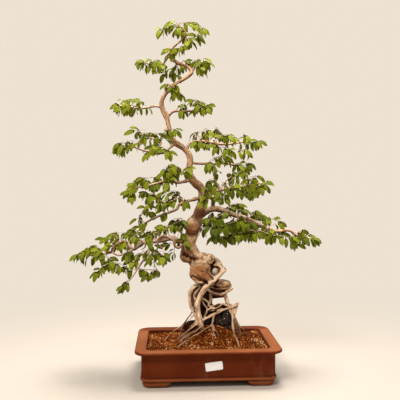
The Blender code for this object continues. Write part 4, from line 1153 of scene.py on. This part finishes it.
def carve_wood(made, lines):
    """Gives the joined wood its bark relief, creases and recesses, and the values its finish reads, painted
    shade among them.
    """
    mesh = made.data
    points = read_points(mesh.vertices, "co") / MM
    normals = read_points(mesh.vertices, "normal")
    grain, tone = nearest_grain(points, lines)
    tone = soften(mesh, tone, 6)
    flat = elevation(points)
    front = np.clip(-normals[:, 1] * 1.6 + 0.35, 0, 1)
    push, hollow = dents(flat, points[:, 1], front)
    relief, furrows = bark_relief(points, grain, tone)
    hollow = np.maximum(hollow, furrows)
    # Painted shade on wood deep among the roots, behind the front ones
    shade_among_roots = patch(flat, (6, 146), (30, 35), (6, 8)) * np.clip((points[:, 1] + 8) / 8, 0, 0.95)
    hollow = np.maximum(hollow, shade_among_roots * front)
    points += normals * (push + relief)[:, None]
    mesh.vertices.foreach_set("co", (points * MM).astype(np.float32).ravel())
    mesh.update()
    # Painted shade on the mass of wood behind the left roots
    shade_left_mass = patch(flat, (-30, 106), (22, 20), (6, 8))
    hollow = np.maximum(hollow, np.clip((points[:, 1] + 12) / 8, 0, 0.85) * shade_left_mass)
    # Painted shade from ambient occlusion, where the skin is closed in
    hollow = np.maximum(hollow, 1.9 * soften(mesh, shelter(mesh, points, normals), 3))
    # Darker towards the bottom, below z 112
    hollow += 0.22 * np.clip((112 - flat[:, 1]) / 25, 0, 1)
    rust = np.clip((118 - flat[:, 1]) / 30, 0, 0.8)
    for middle, half, share in RUSTY:
        rust = np.maximum(rust, share * patch(flat, middle, half))
    # Paler front-facing patches: partly the bark's own tone, partly a painted highlight
    for middle, half, share in PALE_AND_HIGHLIT:
        tone = np.maximum(tone, patch(flat, middle, half) * share * front)
    store(mesh, "grain", "FLOAT_VECTOR", grain * MM)
    store(mesh, "hollow", "FLOAT", np.clip(hollow, 0, 1))
    store(mesh, "tone", "FLOAT", tone)
    store(mesh, "rust", "FLOAT", rust)


def make_trunk_wood(finish):
    """Trunk, knot, roots and stubs, melted together into one skin."""
    lines = wood_lines()
    pieces = []
    for index, (name, path, radii, tone) in enumerate(lines):
        sides = 16 if radii[0] > 5 else 10
        pieces.append(wood_tube(name, path, radii, sides, index, 0.30 if tone > 0.5 else 0.20))
    pieces += [lump("knot", seen(*centre), radii, 4, 0.05) for centre, radii in KNOTS]
    wood = join(pieces, "trunk_wood")
    merge_doubles(wood.data, 1e-6, outwards=True)
    skin = wood.modifiers.new("skin", "REMESH")
    skin.mode = "VOXEL"
    skin.voxel_size = WOOD_VOXEL * MM
    melt = wood.modifiers.new("melt", "SMOOTH")
    melt.factor = 0.5
    melt.iterations = 4
    apply_modifiers(wood)
    carve_wood(wood, lines)
    return give_finish(wood, finish)


# ---- Branches, twigs and leaves

# Half widths along the edge of a blade, and the points of its midrib
LEAF_RIM = ((0.03, 0.24), (0.09, 0.50), (0.17, 0.75), (0.27, 0.90), (0.38, 0.99), (0.49, 1.0),
            (0.60, 0.97), (0.71, 0.84), (0.81, 0.66), (0.90, 0.41), (0.96, 0.20))
LEAF_RIB = (0.0, 0.2, 0.4, 0.6, 0.8, 1.0)
# Length and thickness of the stalk, and thickness of the blade on each side of its middle
LEAF_STALK = 0.14
STALK_THICKNESS = 0.02
BLADE_THICKNESS = 0.012
# How each kind of leaf is shaped: half width, bend in radians, fold, twist in radians
LEAF_KINDS = ((0.215, 0.65, 0.22, 0.20), (0.200, 0.90, 0.14, -0.30), (0.230, 0.40, 0.30, 0.10),
              (0.205, 0.75, 0.18, -0.10), (0.190, 1.15, 0.20, 0.30))
# How steeply a blade leaves its stalk, in radians
LEAF_RISE = 0.15


def blade_spine(t, bend):
    """Place and slope on the bent middle line of a blade of unit length."""
    angle = -LEAF_RISE + bend * t
    return (LEAF_STALK + (math.sin(angle) + math.sin(LEAF_RISE)) / bend,
            (math.cos(angle) - math.cos(LEAF_RISE)) / bend, angle)


def leaf_prototype(index, half_width, bend, fold, twist):
    """A closed blade that arches down, of unit length along +X, its stalk at the origin.

    Its UV runs across and along the blade; the underside's is moved by 2 across.
    """

    def place(t, side, lift=0.0):
        """Point and UV at t along the blade and at a share of its half width."""
        x, z, angle = blade_spine(t, bend)
        turn = twist * t
        y = side * half_width
        rise = fold * abs(y) + 0.02 * math.sin(8 * t + 2 * side + index) * abs(side) + lift
        across = y * math.cos(turn) - rise * math.sin(turn)
        up = y * math.sin(turn) + rise * math.cos(turn)
        return (x + up * math.sin(angle), across, z + up * math.cos(angle)), (0.5 + 0.5 * side, t)

    vertices, faces, uvs = [], [], []
    for lift, shift, under in ((BLADE_THICKNESS, 0.0, False), (-BLADE_THICKNESS, 2.0, True)):
        ribs = [place(t, 0, lift if 0 < t < 1 else 0.0) for t in LEAF_RIB]
        for side in (1, -1):
            rim = [ribs[0]] + [place(t, side * width) for t, width in LEAF_RIM] + [ribs[-1]]
            i = j = 0
            while i < len(ribs) - 1 or j < len(rim) - 1:
                rim_done = j == len(rim) - 1
                along_rib = rim_done or (i < len(ribs) - 1 and ribs[i + 1][1][1] <= rim[j + 1][1][1])
                corners = [ribs[i], rim[j], ribs[i + 1] if along_rib else rim[j + 1]]
                i, j = (i + 1, j) if along_rib else (i, j + 1)
                if len({corner[0] for corner in corners}) < 3:
                    continue
                if (side > 0) == under:
                    corners.reverse()
                faces.append(tuple(range(len(vertices), len(vertices) + 3)))
                vertices += [corner[0] for corner in corners]
                uvs += [(corner[1][0] + shift, corner[1][1]) for corner in corners]
    first = len(vertices)
    ring = [(STALK_THICKNESS * math.cos(a), STALK_THICKNESS * math.sin(a)) for a in (1.57, 3.67, 5.76)]
    vertices += [(0.0, a, b) for a, b in ring]
    vertices += [(LEAF_STALK + 0.03, a * 0.7, b * 0.7) for a, b in ring]
    for k, m in ((0, 1), (1, 2), (2, 0)):
        faces.append((first + k, first + m, first + 3 + m, first + 3 + k))
    faces += [(first + 2, first + 1, first), (first + 3, first + 4, first + 5)]
    uvs += [(0.5, 0.0)] * (3 * 4 + 2 * 3)
    mesh = bpy.data.meshes.new(f"leaf_shape_{index}")
    mesh.from_pydata(vertices, [], faces)
    mesh.uv_layers.new(name="UVMap").data.foreach_set("uv", np.array(uvs, np.float32).ravel())
    merge_doubles(mesh, 1e-5)
    mesh.shade_smooth()
    mesh.set_sharp_from_angle(angle=math.radians(60))
    return bpy.data.objects.new(mesh.name, mesh)


def prototype_collection(name, shapes):
    """Shapes to copy, which aren't in the scene themselves."""
    made = bpy.data.collections.new(name)
    for shape in shapes:
        made.objects.link(shape)
    return made


def choose_root(skeleton, target):
    """The grown point that a twig to this target would fork from: near, and heading there."""
    def cost(place):
        point, heading = place[:2]
        way = target - point
        if way.length < 1e-6:
            return math.inf
        return way.length * (1.5 - 0.5 * way.normalized().dot(heading))
    return min(skeleton, key=cost)


def twig_path(root, heading, target, rng):
    """A slightly zigzag twig that leaves along its parent, arches and droops to its end."""
    reach = (target - root).length
    pull = root + heading * 0.25 * reach + Vector((0, 0, 0.09 * reach))
    steps = max(3, round(reach / 6.0))
    path = []
    for i in range(steps + 1):
        t = i / steps
        point = root * (1 - t) ** 2 + pull * 2 * t * (1 - t) + target * t ** 2
        if 0 < i < steps:
            point += Vector([rng.uniform(-0.7, 0.7) for _ in range(3)])
        path.append(point)
    return path


def leaf_turn(heading, drop, roll):
    """Rotation of a leaf that points along a heading, dropped below the horizon and rolled."""
    outward = Vector((math.cos(heading) * math.cos(drop), math.sin(heading) * math.cos(drop),
                      -math.sin(drop)))
    across = Vector((0, 0, 1)).cross(outward).normalized()
    up = outward.cross(across)
    turn = Matrix((outward, across, up)).transposed()
    return (turn @ Matrix.Rotation(roll, 3, "X")).to_euler("XYZ")


def shown_wood():
    """Search tree and depths of the wood that stays in view from the front."""
    lines = list(SHOWN) + [curl[1] for curl in CURLS]
    spots = [place for line in lines for place in smooth_path(line, FINE_STEP)]
    return search_tree([(place[0], 0.0, place[2]) for place in spots]), [place[1] for place in spots]


SHOWN_TREE, SHOWN_DEPTHS = shown_wood()
TRUNK_LINE = trunk_path(FINE_STEP)
TRUNK_TREE = search_tree([place.to_3d() for place in TRUNK_LINE])


def hides_shown_wood(point, margin):
    """True where a point would cover wood that stays in view."""
    place = laid_out(point)
    return any(place.y < SHOWN_DEPTHS[i] + 2.0
               for _, i, _ in SHOWN_TREE.find_range((place.x, 0.0, place.z), margin))


def inside_limits(point):
    """True where a point, in millimetres, lies in the CAD box or up to 3 mm outside it."""
    low, high = cad_bounds
    return all(low[k] / MM - 3 < point[k] < high[k] / MM + 3 for k in range(3))


def clear_of_trunk(point, margin):
    """True where a point stays off the trunk's bark by a margin."""
    _, index, distance = TRUNK_TREE.find(point)
    return distance > TRUNK_LINE[index][3] + margin


class Growth:
    """The twigs and leaves of one branch while it grows."""

    def __init__(self, name):
        self.name = name
        self.rng = random.Random(name)
        self.strands = []
        self.leaves = []
        self.skeleton = []

    def add_strand(self, path, radii):
        """Adds a stretch of wood that twigs may fork from."""
        self.strands.append((path, radii))
        for i in range(1, len(path)):
            heading = (path[i] - path[i - 1]).normalized()
            self.skeleton.append((path[i], heading, radii[i]))

    def add_leaf(self, base, heading, drop, roll, size):
        """Adds a leaf, turned aside until it clears the trunk and the part's limits."""
        for _ in range(6):
            kind = self.rng.randrange(len(LEAF_KINDS))
            x, z, _ = blade_spine(1.0, LEAF_KINDS[kind][1])
            turn = leaf_turn(heading, drop, roll + LEAF_LEAN * math.cos(heading))
            tip = base + turn.to_matrix() @ Vector((x, 0, z)) * LEAF_LENGTH * size
            middle = base.lerp(tip, 0.6)
            if (inside_limits(tip) and clear_of_trunk(middle, 1.5) and clear_of_trunk(tip, 1.0)
                    and not hides_shown_wood(middle, 7.0) and not hides_shown_wood(tip, 3.5)):
                self.leaves.append((base, turn, size * LEAF_LENGTH, kind, self.leaf_tint(base)))
                return
            heading += self.rng.uniform(-0.9, 0.9)
            drop = min(1.3, drop + 0.15)

    def leaf_tint(self, base):
        """A random tone with painted light and shade: brighter high up and far out, with deeper painted
        shade near the trunk low down and near the branch's middle depth.
        """
        high = (base.z - 180) / 560
        out = min(1.0, abs(base.x - SHIFT.x + 20) / 230)
        inner = max(0.0, 1.0 - abs(base.y - SHIFT.y) / 24)
        shade = math.exp(-((base.x - SHIFT.x + 5) / 62) ** 4 - ((base.z - SHIFT.z - 318) / 34) ** 4)
        tint = (0.33 - 0.16 * shade - LEAF_SHADE.get(self.name, 0.0) + 0.17 * high + 0.09 * out
                - 0.26 * inner * (1 - 0.7 * high))
        return tint + self.rng.uniform(-0.20 + 0.12 * high, 0.24 - 0.04 * high)

    def leaf_fan(self, path, count):
        """Leaves that alternate along the end of a twig, and one at its tip, all arching down."""
        rng = self.rng
        end = path[-1]
        along = (path[-1] - path[-2]).normalized()
        flat = Vector((along.x, along.y, 0))
        heading = math.atan2(flat.y, flat.x) if flat.length > 0.15 else rng.uniform(-3.14, 3.14)
        self.add_leaf(end, heading + rng.uniform(-0.5, 0.5), math.radians(rng.uniform(15, 60)),
                      rng.uniform(-0.3, 0.3), rng.uniform(0.88, 1.08))
        place, left = len(path) - 1, LEAF_SPACING * 0.6
        point = end
        for i in range(count - 1):
            while place > 0 and (path[place - 1] - point).length < left:
                left -= (path[place - 1] - point).length
                place -= 1
                point = path[place]
            if place == 0:
                break
            point = point + (path[place - 1] - point).normalized() * left
            left = LEAF_SPACING * rng.uniform(0.75, 1.2)
            hand = 1 if i % 2 else -1
            spread = 0.55 + 0.20 * i + rng.uniform(-0.3, 0.3)
            drop = rng.uniform(42, 82) if rng.random() < 0.68 else rng.uniform(-8, 35)
            self.add_leaf(point, heading + hand * spread, math.radians(drop),
                          hand * rng.uniform(-0.3, 0.3), rng.uniform(0.74, 1.06))

    def grow_to(self, target, count):
        """Grows a twig to a target, with that many leaves and, on a long one, a short side shoot."""
        root, heading, thick = choose_root(self.skeleton, target)
        path = twig_path(root, heading, target, self.rng)
        reach = (target - root).length
        start = min(thick * 0.7, 0.75 + 0.012 * reach)
        self.add_strand(path, tapered(path, start, 0.5))
        self.leaf_fan(path, count)
        if reach > 30:
            middle = path[len(path) // 2]
            sideways = Vector((target.y - root.y, root.x - target.x, 0)).normalized()
            hand = 1 if self.rng.random() < 0.5 else -1
            shoot = middle + sideways * hand * self.rng.uniform(10, 16)
            shoot = shoot + Vector((0, 0, self.rng.uniform(-3, 4)))
            if clear_of_trunk(shoot, 3) and inside_limits(shoot):
                short = twig_path(middle, (path[-1] - path[0]).normalized(), shoot, self.rng)
                self.add_strand(short, tapered(short, 0.6, 0.4))
                self.leaf_fan(short, 2)


def cluster_targets(name, rng):
    """Where the twigs of a branch end: one for each cluster of the part, and more behind and in front."""
    points, _, _, spread, clusters = BRANCHES[name]
    path = seen_path(points, 14.0)
    targets = []
    for index, cluster in enumerate(clusters):
        flat = seen(cluster[0], path[len(path) // 2].y, cluster[1])
        near = min(path, key=lambda place: (place - flat).length)
        if len(cluster) == 3:
            depths = [cluster[2]]
            if spread > 30:
                depths.append(cluster[2] + (14 if index % 2 else -10))
        else:
            swing = 2.4 * index + 0.8
            depths = [near.y + spread * math.sin(swing), near.y + spread * 0.8 * math.sin(swing + 2.4)]
            if spread > 40 and index % 2:
                depths.append(near.y)
            if name == "right_low" and cluster[0] < 120:
                depths += [near.y - 26, near.y + 24]
        for order, depth in enumerate(depths):
            jitter = 0 if order == 0 else 6
            x = cluster[0] + rng.uniform(-jitter, jitter)
            z = cluster[1] + 3 + rng.uniform(-jitter, jitter) * 0.7
            targets.append(seen(x, depth, z))
    return targets


def grow_branch(name):
    """Wood, twigs and leaves of a branch beyond its stub."""
    growth = Growth(name)
    path, radii = branch_line(name)
    first = max(stub_size(name, path) - 2, 0)
    free = path[first:]
    growth.add_strand(free, radii[first:])
    growth.skeleton = growth.skeleton[3:]
    if name in LIMBS:
        points, start, end = LIMBS[name]
        limb = seen_path(points, WOOD_STEP)
        growth.add_strand(limb, tapered(limb, start, end))
    for owner, points, start, end in CURLS:
        if owner == name:
            curl = seen_path(points, FINE_STEP)
            growth.strands.append((curl, tapered(curl, start, end)))
    targets = cluster_targets(name, growth.rng)
    slim = BRANCHES[name][3] < 30
    for target in sorted(targets, key=lambda t: (t - free[0]).length):
        growth.grow_to(target, growth.rng.randint(*LEAVES_AT_TIP) + slim)
    growth.leaf_fan(free, 5)
    return growth


def knobbly(radii, seed):
    """Radii with the small swellings where twigs sprout."""
    return [r * (1 + 0.16 * noise.noise(Vector((i * 0.45, seed, 0.3)))) for i, r in enumerate(radii)]


def make_twigs(growth, tree, finish):
    """The wood of a branch beyond its stub."""
    vertices, edges, thickness = [], [], []
    for index, (path, radii) in enumerate(growth.strands):
        first = len(vertices)
        path = wavering(path, BRANCH_DRIFT, index) if index == 0 else path
        vertices += [tuple(p * MM) for p in path]
        edges += [(first + i, first + i + 1) for i in range(len(path) - 1)]
        thickness += [r * MM for r in knobbly(radii, index)]
    mesh = bpy.data.meshes.new(growth.name + "_twigs")
    mesh.from_pydata(vertices, edges, [])
    store(mesh, "thickness", "FLOAT", thickness)
    made = show(mesh.name, mesh)
    run_tree(made, tree, {"Sides": 7, "Finish": finish})
    return made


def make_leaves(growth, tree, shapes, finish):
    """The leaves of a branch, from one point each."""
    bases, turns, sizes, kinds, tints = zip(*growth.leaves)
    mesh = bpy.data.meshes.new(growth.name + "_leaves")
    mesh.from_pydata([tuple(base * MM) for base in bases], [], [])
    store(mesh, "turn", "FLOAT_VECTOR", [tuple(turn) for turn in turns])
    store(mesh, "size", "FLOAT", [size * MM for size in sizes])
    store(mesh, "kind", "INT", kinds)
    store(mesh, "tint", "FLOAT", tints)
    made = show(mesh.name, mesh)
    run_tree(made, tree, {"Prototypes": shapes, "Finish": finish})
    return made


# ---- Pot, soil, stones and label

def rounded_outline(half_x, half_y, radius, steps):
    """A flat outline with round corners, whose corner centres lie half_x and half_y from the middle."""
    outline = []
    for quarter, (sx, sy) in enumerate(((1, 1), (-1, 1), (-1, -1), (1, -1))):
        for step in range(steps + 1):
            angle = math.radians(90 * (quarter + step / steps))
            outline.append((sx * half_x + radius * math.cos(angle), sy * half_y + radius * math.sin(angle)))
    return outline


def rounded_rectangle(inset, z):
    """The pot's outline at a height, moved in by inset. Its corners tighten as it shrinks."""
    radius = max(POT_CORNER - 0.6 * inset, 8.0)
    outline = rounded_outline(POT_WIDTH / 2 - inset - radius, POT_DEPTH / 2 - inset - radius, radius, 14)
    return [(x + SHIFT.x, y + SHIFT.y, z) for x, y in outline]


def pot_profile():
    """(inset, height) from the underside's middle, out and up the wall, over the lip and down inside."""
    foot = WALL_INSET + 1.6
    skirt = foot + SKIRT_THICKNESS
    neck = POT_HEIGHT - LIP_FACE
    feet = [(skirt, UNDERSIDE), (skirt, 0.8), (skirt - 0.8, 0), (foot + 7, 0), (foot + 4.2, 0.7),
            (foot + 2.0, 2.2), (foot + 0.7, 4.4), (foot, 7.2), (foot + 0.3, 9.6), (foot + 1.0, 11.4),
            (foot + 2.2, BELT_LOW - 0.9)]
    belt_middle, belt_half = (BELT_LOW + BELT_HIGH) / 2, (BELT_HIGH - BELT_LOW - 1) / 2
    belt = [(WALL_INSET - 2.2 * math.sin(math.radians(a)),
             belt_middle - belt_half * math.cos(math.radians(a))) for a in range(0, 181, 20)]
    wall = [(WALL_INSET + 0.6, BELT_HIGH + 0.6), (WALL_INSET + 0.2, 25), (WALL_INSET + 0.1, 40),
            (WALL_INSET, 50), (WALL_INSET, neck - 13)]
    cavetto = [(WALL_INSET * math.cos(math.radians(a)) + 0.4, neck - 12 + 12 * math.sin(math.radians(a)))
               for a in (12, 25, 40, 55, 70, 82)]
    lip = [(0.8, neck - 0.2), (0.15, neck + 0.7), (0, neck + 1.8), (0.1, POT_HEIGHT - 3.0),
           (0.7, POT_HEIGHT - 1.5), (1.9, POT_HEIGHT - 0.5), (3.6, POT_HEIGHT),
           (LIP_TOP - 3, POT_HEIGHT - 0.3), (LIP_TOP - 1.2, POT_HEIGHT - 0.8),
           (LIP_TOP - 0.2, POT_HEIGHT - 2.0), (LIP_TOP + 0.3, POT_HEIGHT - 4)]
    inside = [(LIP_TOP + 3, FLOOR_TOP + 3), (LIP_TOP + 6, FLOOR_TOP)]
    return feet + belt + wall + cavetto + lip + inside


def foot_gap(half_length, along_x):
    """The cutter between two feet, with the cloud curve of their ends."""
    foot = half_length - WALL_INSET - 2 - FOOT_LENGTH + 4
    curve = [(foot - FOOT_SWEEP * s, FOOT_HEIGHT * (0.8 * s + 0.2 * s ** 5))
             for s in (i / 12 for i in range(13))]
    outline = [(foot + 1, -2)] + curve
    outline = outline + [(-a, z) for a, z in reversed(outline)]
    reach = max(POT_WIDTH, POT_DEPTH)
    rings = [[((a, end, z) if along_x else (end, a, z)) for a, z in outline] for end in (-reach, reach)]
    return closed_form("foot_gap", [[(x + SHIFT.x, y + SHIFT.y, z) for x, y, z in ring] for ring in rings])


def drain_hole(x):
    """The cutter of a drainage hole."""
    ring = [(x + DRAIN_RADIUS * math.cos(math.tau * k / 40) + SHIFT.x,
             DRAIN_RADIUS * math.sin(math.tau * k / 40) + SHIFT.y) for k in range(40)]
    return closed_form("drain", [[(a, b, z) for a, b in ring] for z in (UNDERSIDE - 5, FLOOR_TOP + 5)])


def make_clay_pot(finish):
    """The pot with soft edges, made again at a finer step than its solid."""
    pot = closed_form("clay_pot", [rounded_rectangle(inset, z) for inset, z in pot_profile()])
    cutters = [foot_gap(POT_WIDTH / 2, True), foot_gap(POT_DEPTH / 2, False),
               drain_hole(-DRAIN_OFFSET), drain_hole(DRAIN_OFFSET)]
    for cutter in cutters:
        cut = pot.modifiers.new("cut", "BOOLEAN")
        cut.operation = "DIFFERENCE"
        cut.object = cutter
        cut.solver = "EXACT"
    edge = pot.modifiers.new("edge", "BEVEL")
    edge.width = 0.7 * MM
    edge.segments = 2
    edge.limit_method = "ANGLE"
    edge.angle_limit = math.radians(50)
    apply_modifiers(pot)
    for cutter in cutters:
        bpy.data.objects.remove(cutter)
    pot.data.materials.clear()
    return give_finish(pot, finish, 42)


def soil_height(x, y):
    """Height of the mounded soil at a place measured from the pot's middle."""
    rise = math.exp(-abs((x - MOUND_CENTRE[0]) / MOUND_REACH[0]) ** 3
                    - ((y - MOUND_CENTRE[1]) / MOUND_REACH[1]) ** 2)
    broad = noise.noise(Vector((x * 0.045, y * 0.045, 3.1))) * 1.6
    small = noise.noise(Vector((x * 0.2, y * 0.2, 0))) * 0.8
    return SOIL_EDGE - 1.0 + MOUND_HEIGHT * rise + (broad + small)


def make_soil_bed(finish):
    """The filling, with a fine uneven top."""
    gap = 0.35
    edge = rounded_rectangle(LIP_TOP + gap + 0.6, 0)
    rings = [rounded_rectangle(LIP_TOP + 6 + gap, FLOOR_TOP + 1.7),
             rounded_rectangle(LIP_TOP + 3.4 + gap, FLOOR_TOP + 4.5)]
    for i in range(34):
        share = 1.0 - i / 34.5
        ring = [((x - SHIFT.x) * share, (y - SHIFT.y) * share) for x, y, _ in edge]
        rings.append([(x + SHIFT.x, y + SHIFT.y, soil_height(x, y)) for x, y in ring])
    return give_finish(closed_form("soil_bed", rings), finish, 60)


def granule_shapes():
    """Three crumbled granules of unit size."""
    shapes = []
    for index in range(3):
        shape = bmesh.new()
        bmesh.ops.create_icosphere(shape, subdivisions=1, radius=1.0)
        for vertex in shape.verts:
            vertex.co *= 1 + 0.5 * noise.noise(vertex.co * 1.3 + Vector((index * 5.0, 0, 0)))
            vertex.co.z *= 0.72
        mesh = mesh_from(f"granule_shape_{index}", shape)
        shapes.append(bpy.data.objects.new(mesh.name, mesh))
    return prototype_collection("granule_shapes", shapes)


def granule_ground(bed):
    """The part of the bed's top that granules lie on, as a mesh of its own."""
    shape = bmesh.new()
    shape.from_mesh(bed.data)
    half_x = POT_WIDTH / 2 - LIP_TOP - 2.6
    half_y = POT_DEPTH / 2 - LIP_TOP - 2.6
    gone = []
    for face in shape.faces:
        middle = face.calc_center_median() / MM - SHIFT
        inside = abs(middle.x) < half_x and abs(middle.y) < half_y
        if face.normal.z < 0.3 or not inside or middle.z < SOIL_EDGE - 6:
            gone.append(face)
    bmesh.ops.delete(shape, geom=gone, context="FACES")
    return show("soil_granules", mesh_from("soil_granules", shape))


def make_granules(bed, finish):
    """Loose granules all over the bed."""
    granules = granule_ground(bed)
    run_tree(granules, make_granule_tree(), {
        "Prototypes": granule_shapes(), "Spacing": 2.6 * MM, "Smallest": 1.0 * MM, "Largest": 2.3 * MM,
        "Seed": 4, "Finish": finish})
    return granules


def make_stone(name, place, detail, dents_share, finish):
    """A dented stone at a front-elevation place."""
    centre, radii = place
    stone = lump(name, seen(*centre), radii, detail, dents_share)
    merge_doubles(stone.data, 1e-6, outwards=True)
    return give_finish(stone, finish)


def make_label(finish):
    """A blank sticker with rounded corners, just proud of the wall."""
    radius = 2.4
    outline = rounded_outline(LABEL_WIDTH / 2 - radius, LABEL_HEIGHT / 2 - radius, radius, 6)
    low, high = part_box("label")
    turn = math.radians(LABEL_TILT)
    middle = (low + high) / 2 / MM - Vector((LABEL_SHIFT, 0, 0))
    rings = [[(middle.x + a * math.cos(turn) - b * math.sin(turn), y,
               middle.z + a * math.sin(turn) + b * math.cos(turn)) for a, b in outline]
             for y in (high.y / MM, low.y / MM)]
    return give_finish(closed_form("blank_label", rings), finish, 40)


# ---- Stage

def area_light(name, place, target, size, power, colour):
    """A round lamp at a place, aimed at a target, in metres."""
    lamp = bpy.data.lights.new(name, "AREA")
    lamp.shape = "DISK"
    lamp.size = size
    lamp.energy = power
    lamp.color = colour
    made = show(name, lamp)
    made.location = place
    made.rotation_euler = (Vector(target) - made.location).to_track_quat("-Z", "Y").to_euler()


def make_stage():
    """Floor, air and three lamps."""
    half = 9000
    corners = [(-half, -half, 0), (half, -half, 0), (half, half, 0), (-half, half, 0)]
    floor = object_from("studio_floor", corners, [(0, 1, 2, 3)])
    floor.data.materials.append(studio_floor())
    air = bpy.data.worlds.new("studio_air")
    bpy.context.scene.world = air
    air.use_nodes = True
    tree = air.node_tree
    glow = tree.nodes["Background"]
    glow.inputs["Color"].default_value = (0.96, 0.95, 0.93, 1.0)
    glow.inputs["Strength"].default_value = 0.40
    backdrop = put(tree, "ShaderNodeBackground", {"Color": (*BACKDROP, 1.0), "Strength": 1.0})
    blend = put(tree, "ShaderNodeMixShader", {0: put(tree, "ShaderNodeLightPath").outputs["Is Camera Ray"],
                                              1: glow.outputs[0], 2: backdrop.outputs[0]})
    tree.links.new(blend.outputs[0], tree.nodes["World Output"].inputs["Surface"])
    area_light("key", (-0.8, -1.3, 1.8), (0, 0, 0.35), 0.7, 36, (1.0, 0.97, 0.92))
    area_light("fill", (1.5, -1.1, 0.9), (0, 0, 0.35), 1.2, 4, (1.0, 0.95, 0.88))
    area_light("crown", (0.15, 0.15, 2.1), (0, 0, 0.3), 0.8, 58, (1.0, 0.98, 0.95))


def make_camera():
    """A 50 mm lens at the photograph's viewpoint, placed from the pot."""
    lens = bpy.data.cameras.new("viewpoint")
    lens.lens = 50.0
    lens.sensor_width = 36.0
    camera = show("viewpoint", lens)
    camera.location = (Vector(CAMERA_PLACE) + SHIFT) * MM
    camera.rotation_euler = Euler((math.radians(CAMERA_PITCH), 0.0, math.radians(CAMERA_TURN)))
    bpy.context.scene.camera = camera


# ---- The whole bonsai

def settle(piece, slot, *nodes):
    """Ties a finished piece to the part's root body and hides the parts it stands for. Its slot, the finish
    it would take, is not used.
    """
    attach(piece, "root")
    if nodes:
        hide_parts(*nodes)


def dress():
    """Makes every visible piece and ties it to the part."""
    settle(make_clay_pot(red_clay()), "clay", "pot")
    bed = make_soil_bed(moist_soil())
    settle(bed, "earth", "soil")
    settle(make_granules(bed, granule_clay()), "earth")
    settle(make_trunk_wood(old_bark()), "bark", "trunk_and_roots")
    settle(make_stone("held_pebble", PEBBLE, 4, 0.045, dull_stone()), "pale_stone", "pebble")
    gloss = wet_stone()
    for side, place in zip(("right", "left"), ROOT_STONES):
        settle(make_stone(f"glossy_{side}_stone", place, 5, 0.20, gloss), "dark_stone", "root_stone")
    settle(make_stone("glossy_side_stone", SIDE_STONE, 4, 0.16, gloss), "dark_stone")
    settle(make_label(plain_paper()), "paper", "label")
    mesh_finish = black_mesh()
    for node in ("drain_screen_left", "drain_screen_right"):
        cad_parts[node].data.materials.clear()
        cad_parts[node].data.materials.append(mesh_finish)

    bark, green = young_bark(), leaf_green()
    shapes = prototype_collection("leaf_shapes", [leaf_prototype(index, *kind)
                                                  for index, kind in enumerate(LEAF_KINDS)])
    twig_tree, scatter_tree = make_twig_tree(), make_scatter_tree()
    for name in BRANCHES:
        growth = grow_branch(name)
        settle(make_twigs(growth, twig_tree, bark), "bark", name + "_branch")
        settle(make_leaves(growth, scatter_tree, shapes, green), "foliage", name + "_branch")


bpy.context.scene.view_settings.view_transform = "Standard"
make_camera()
dress()
make_stage()
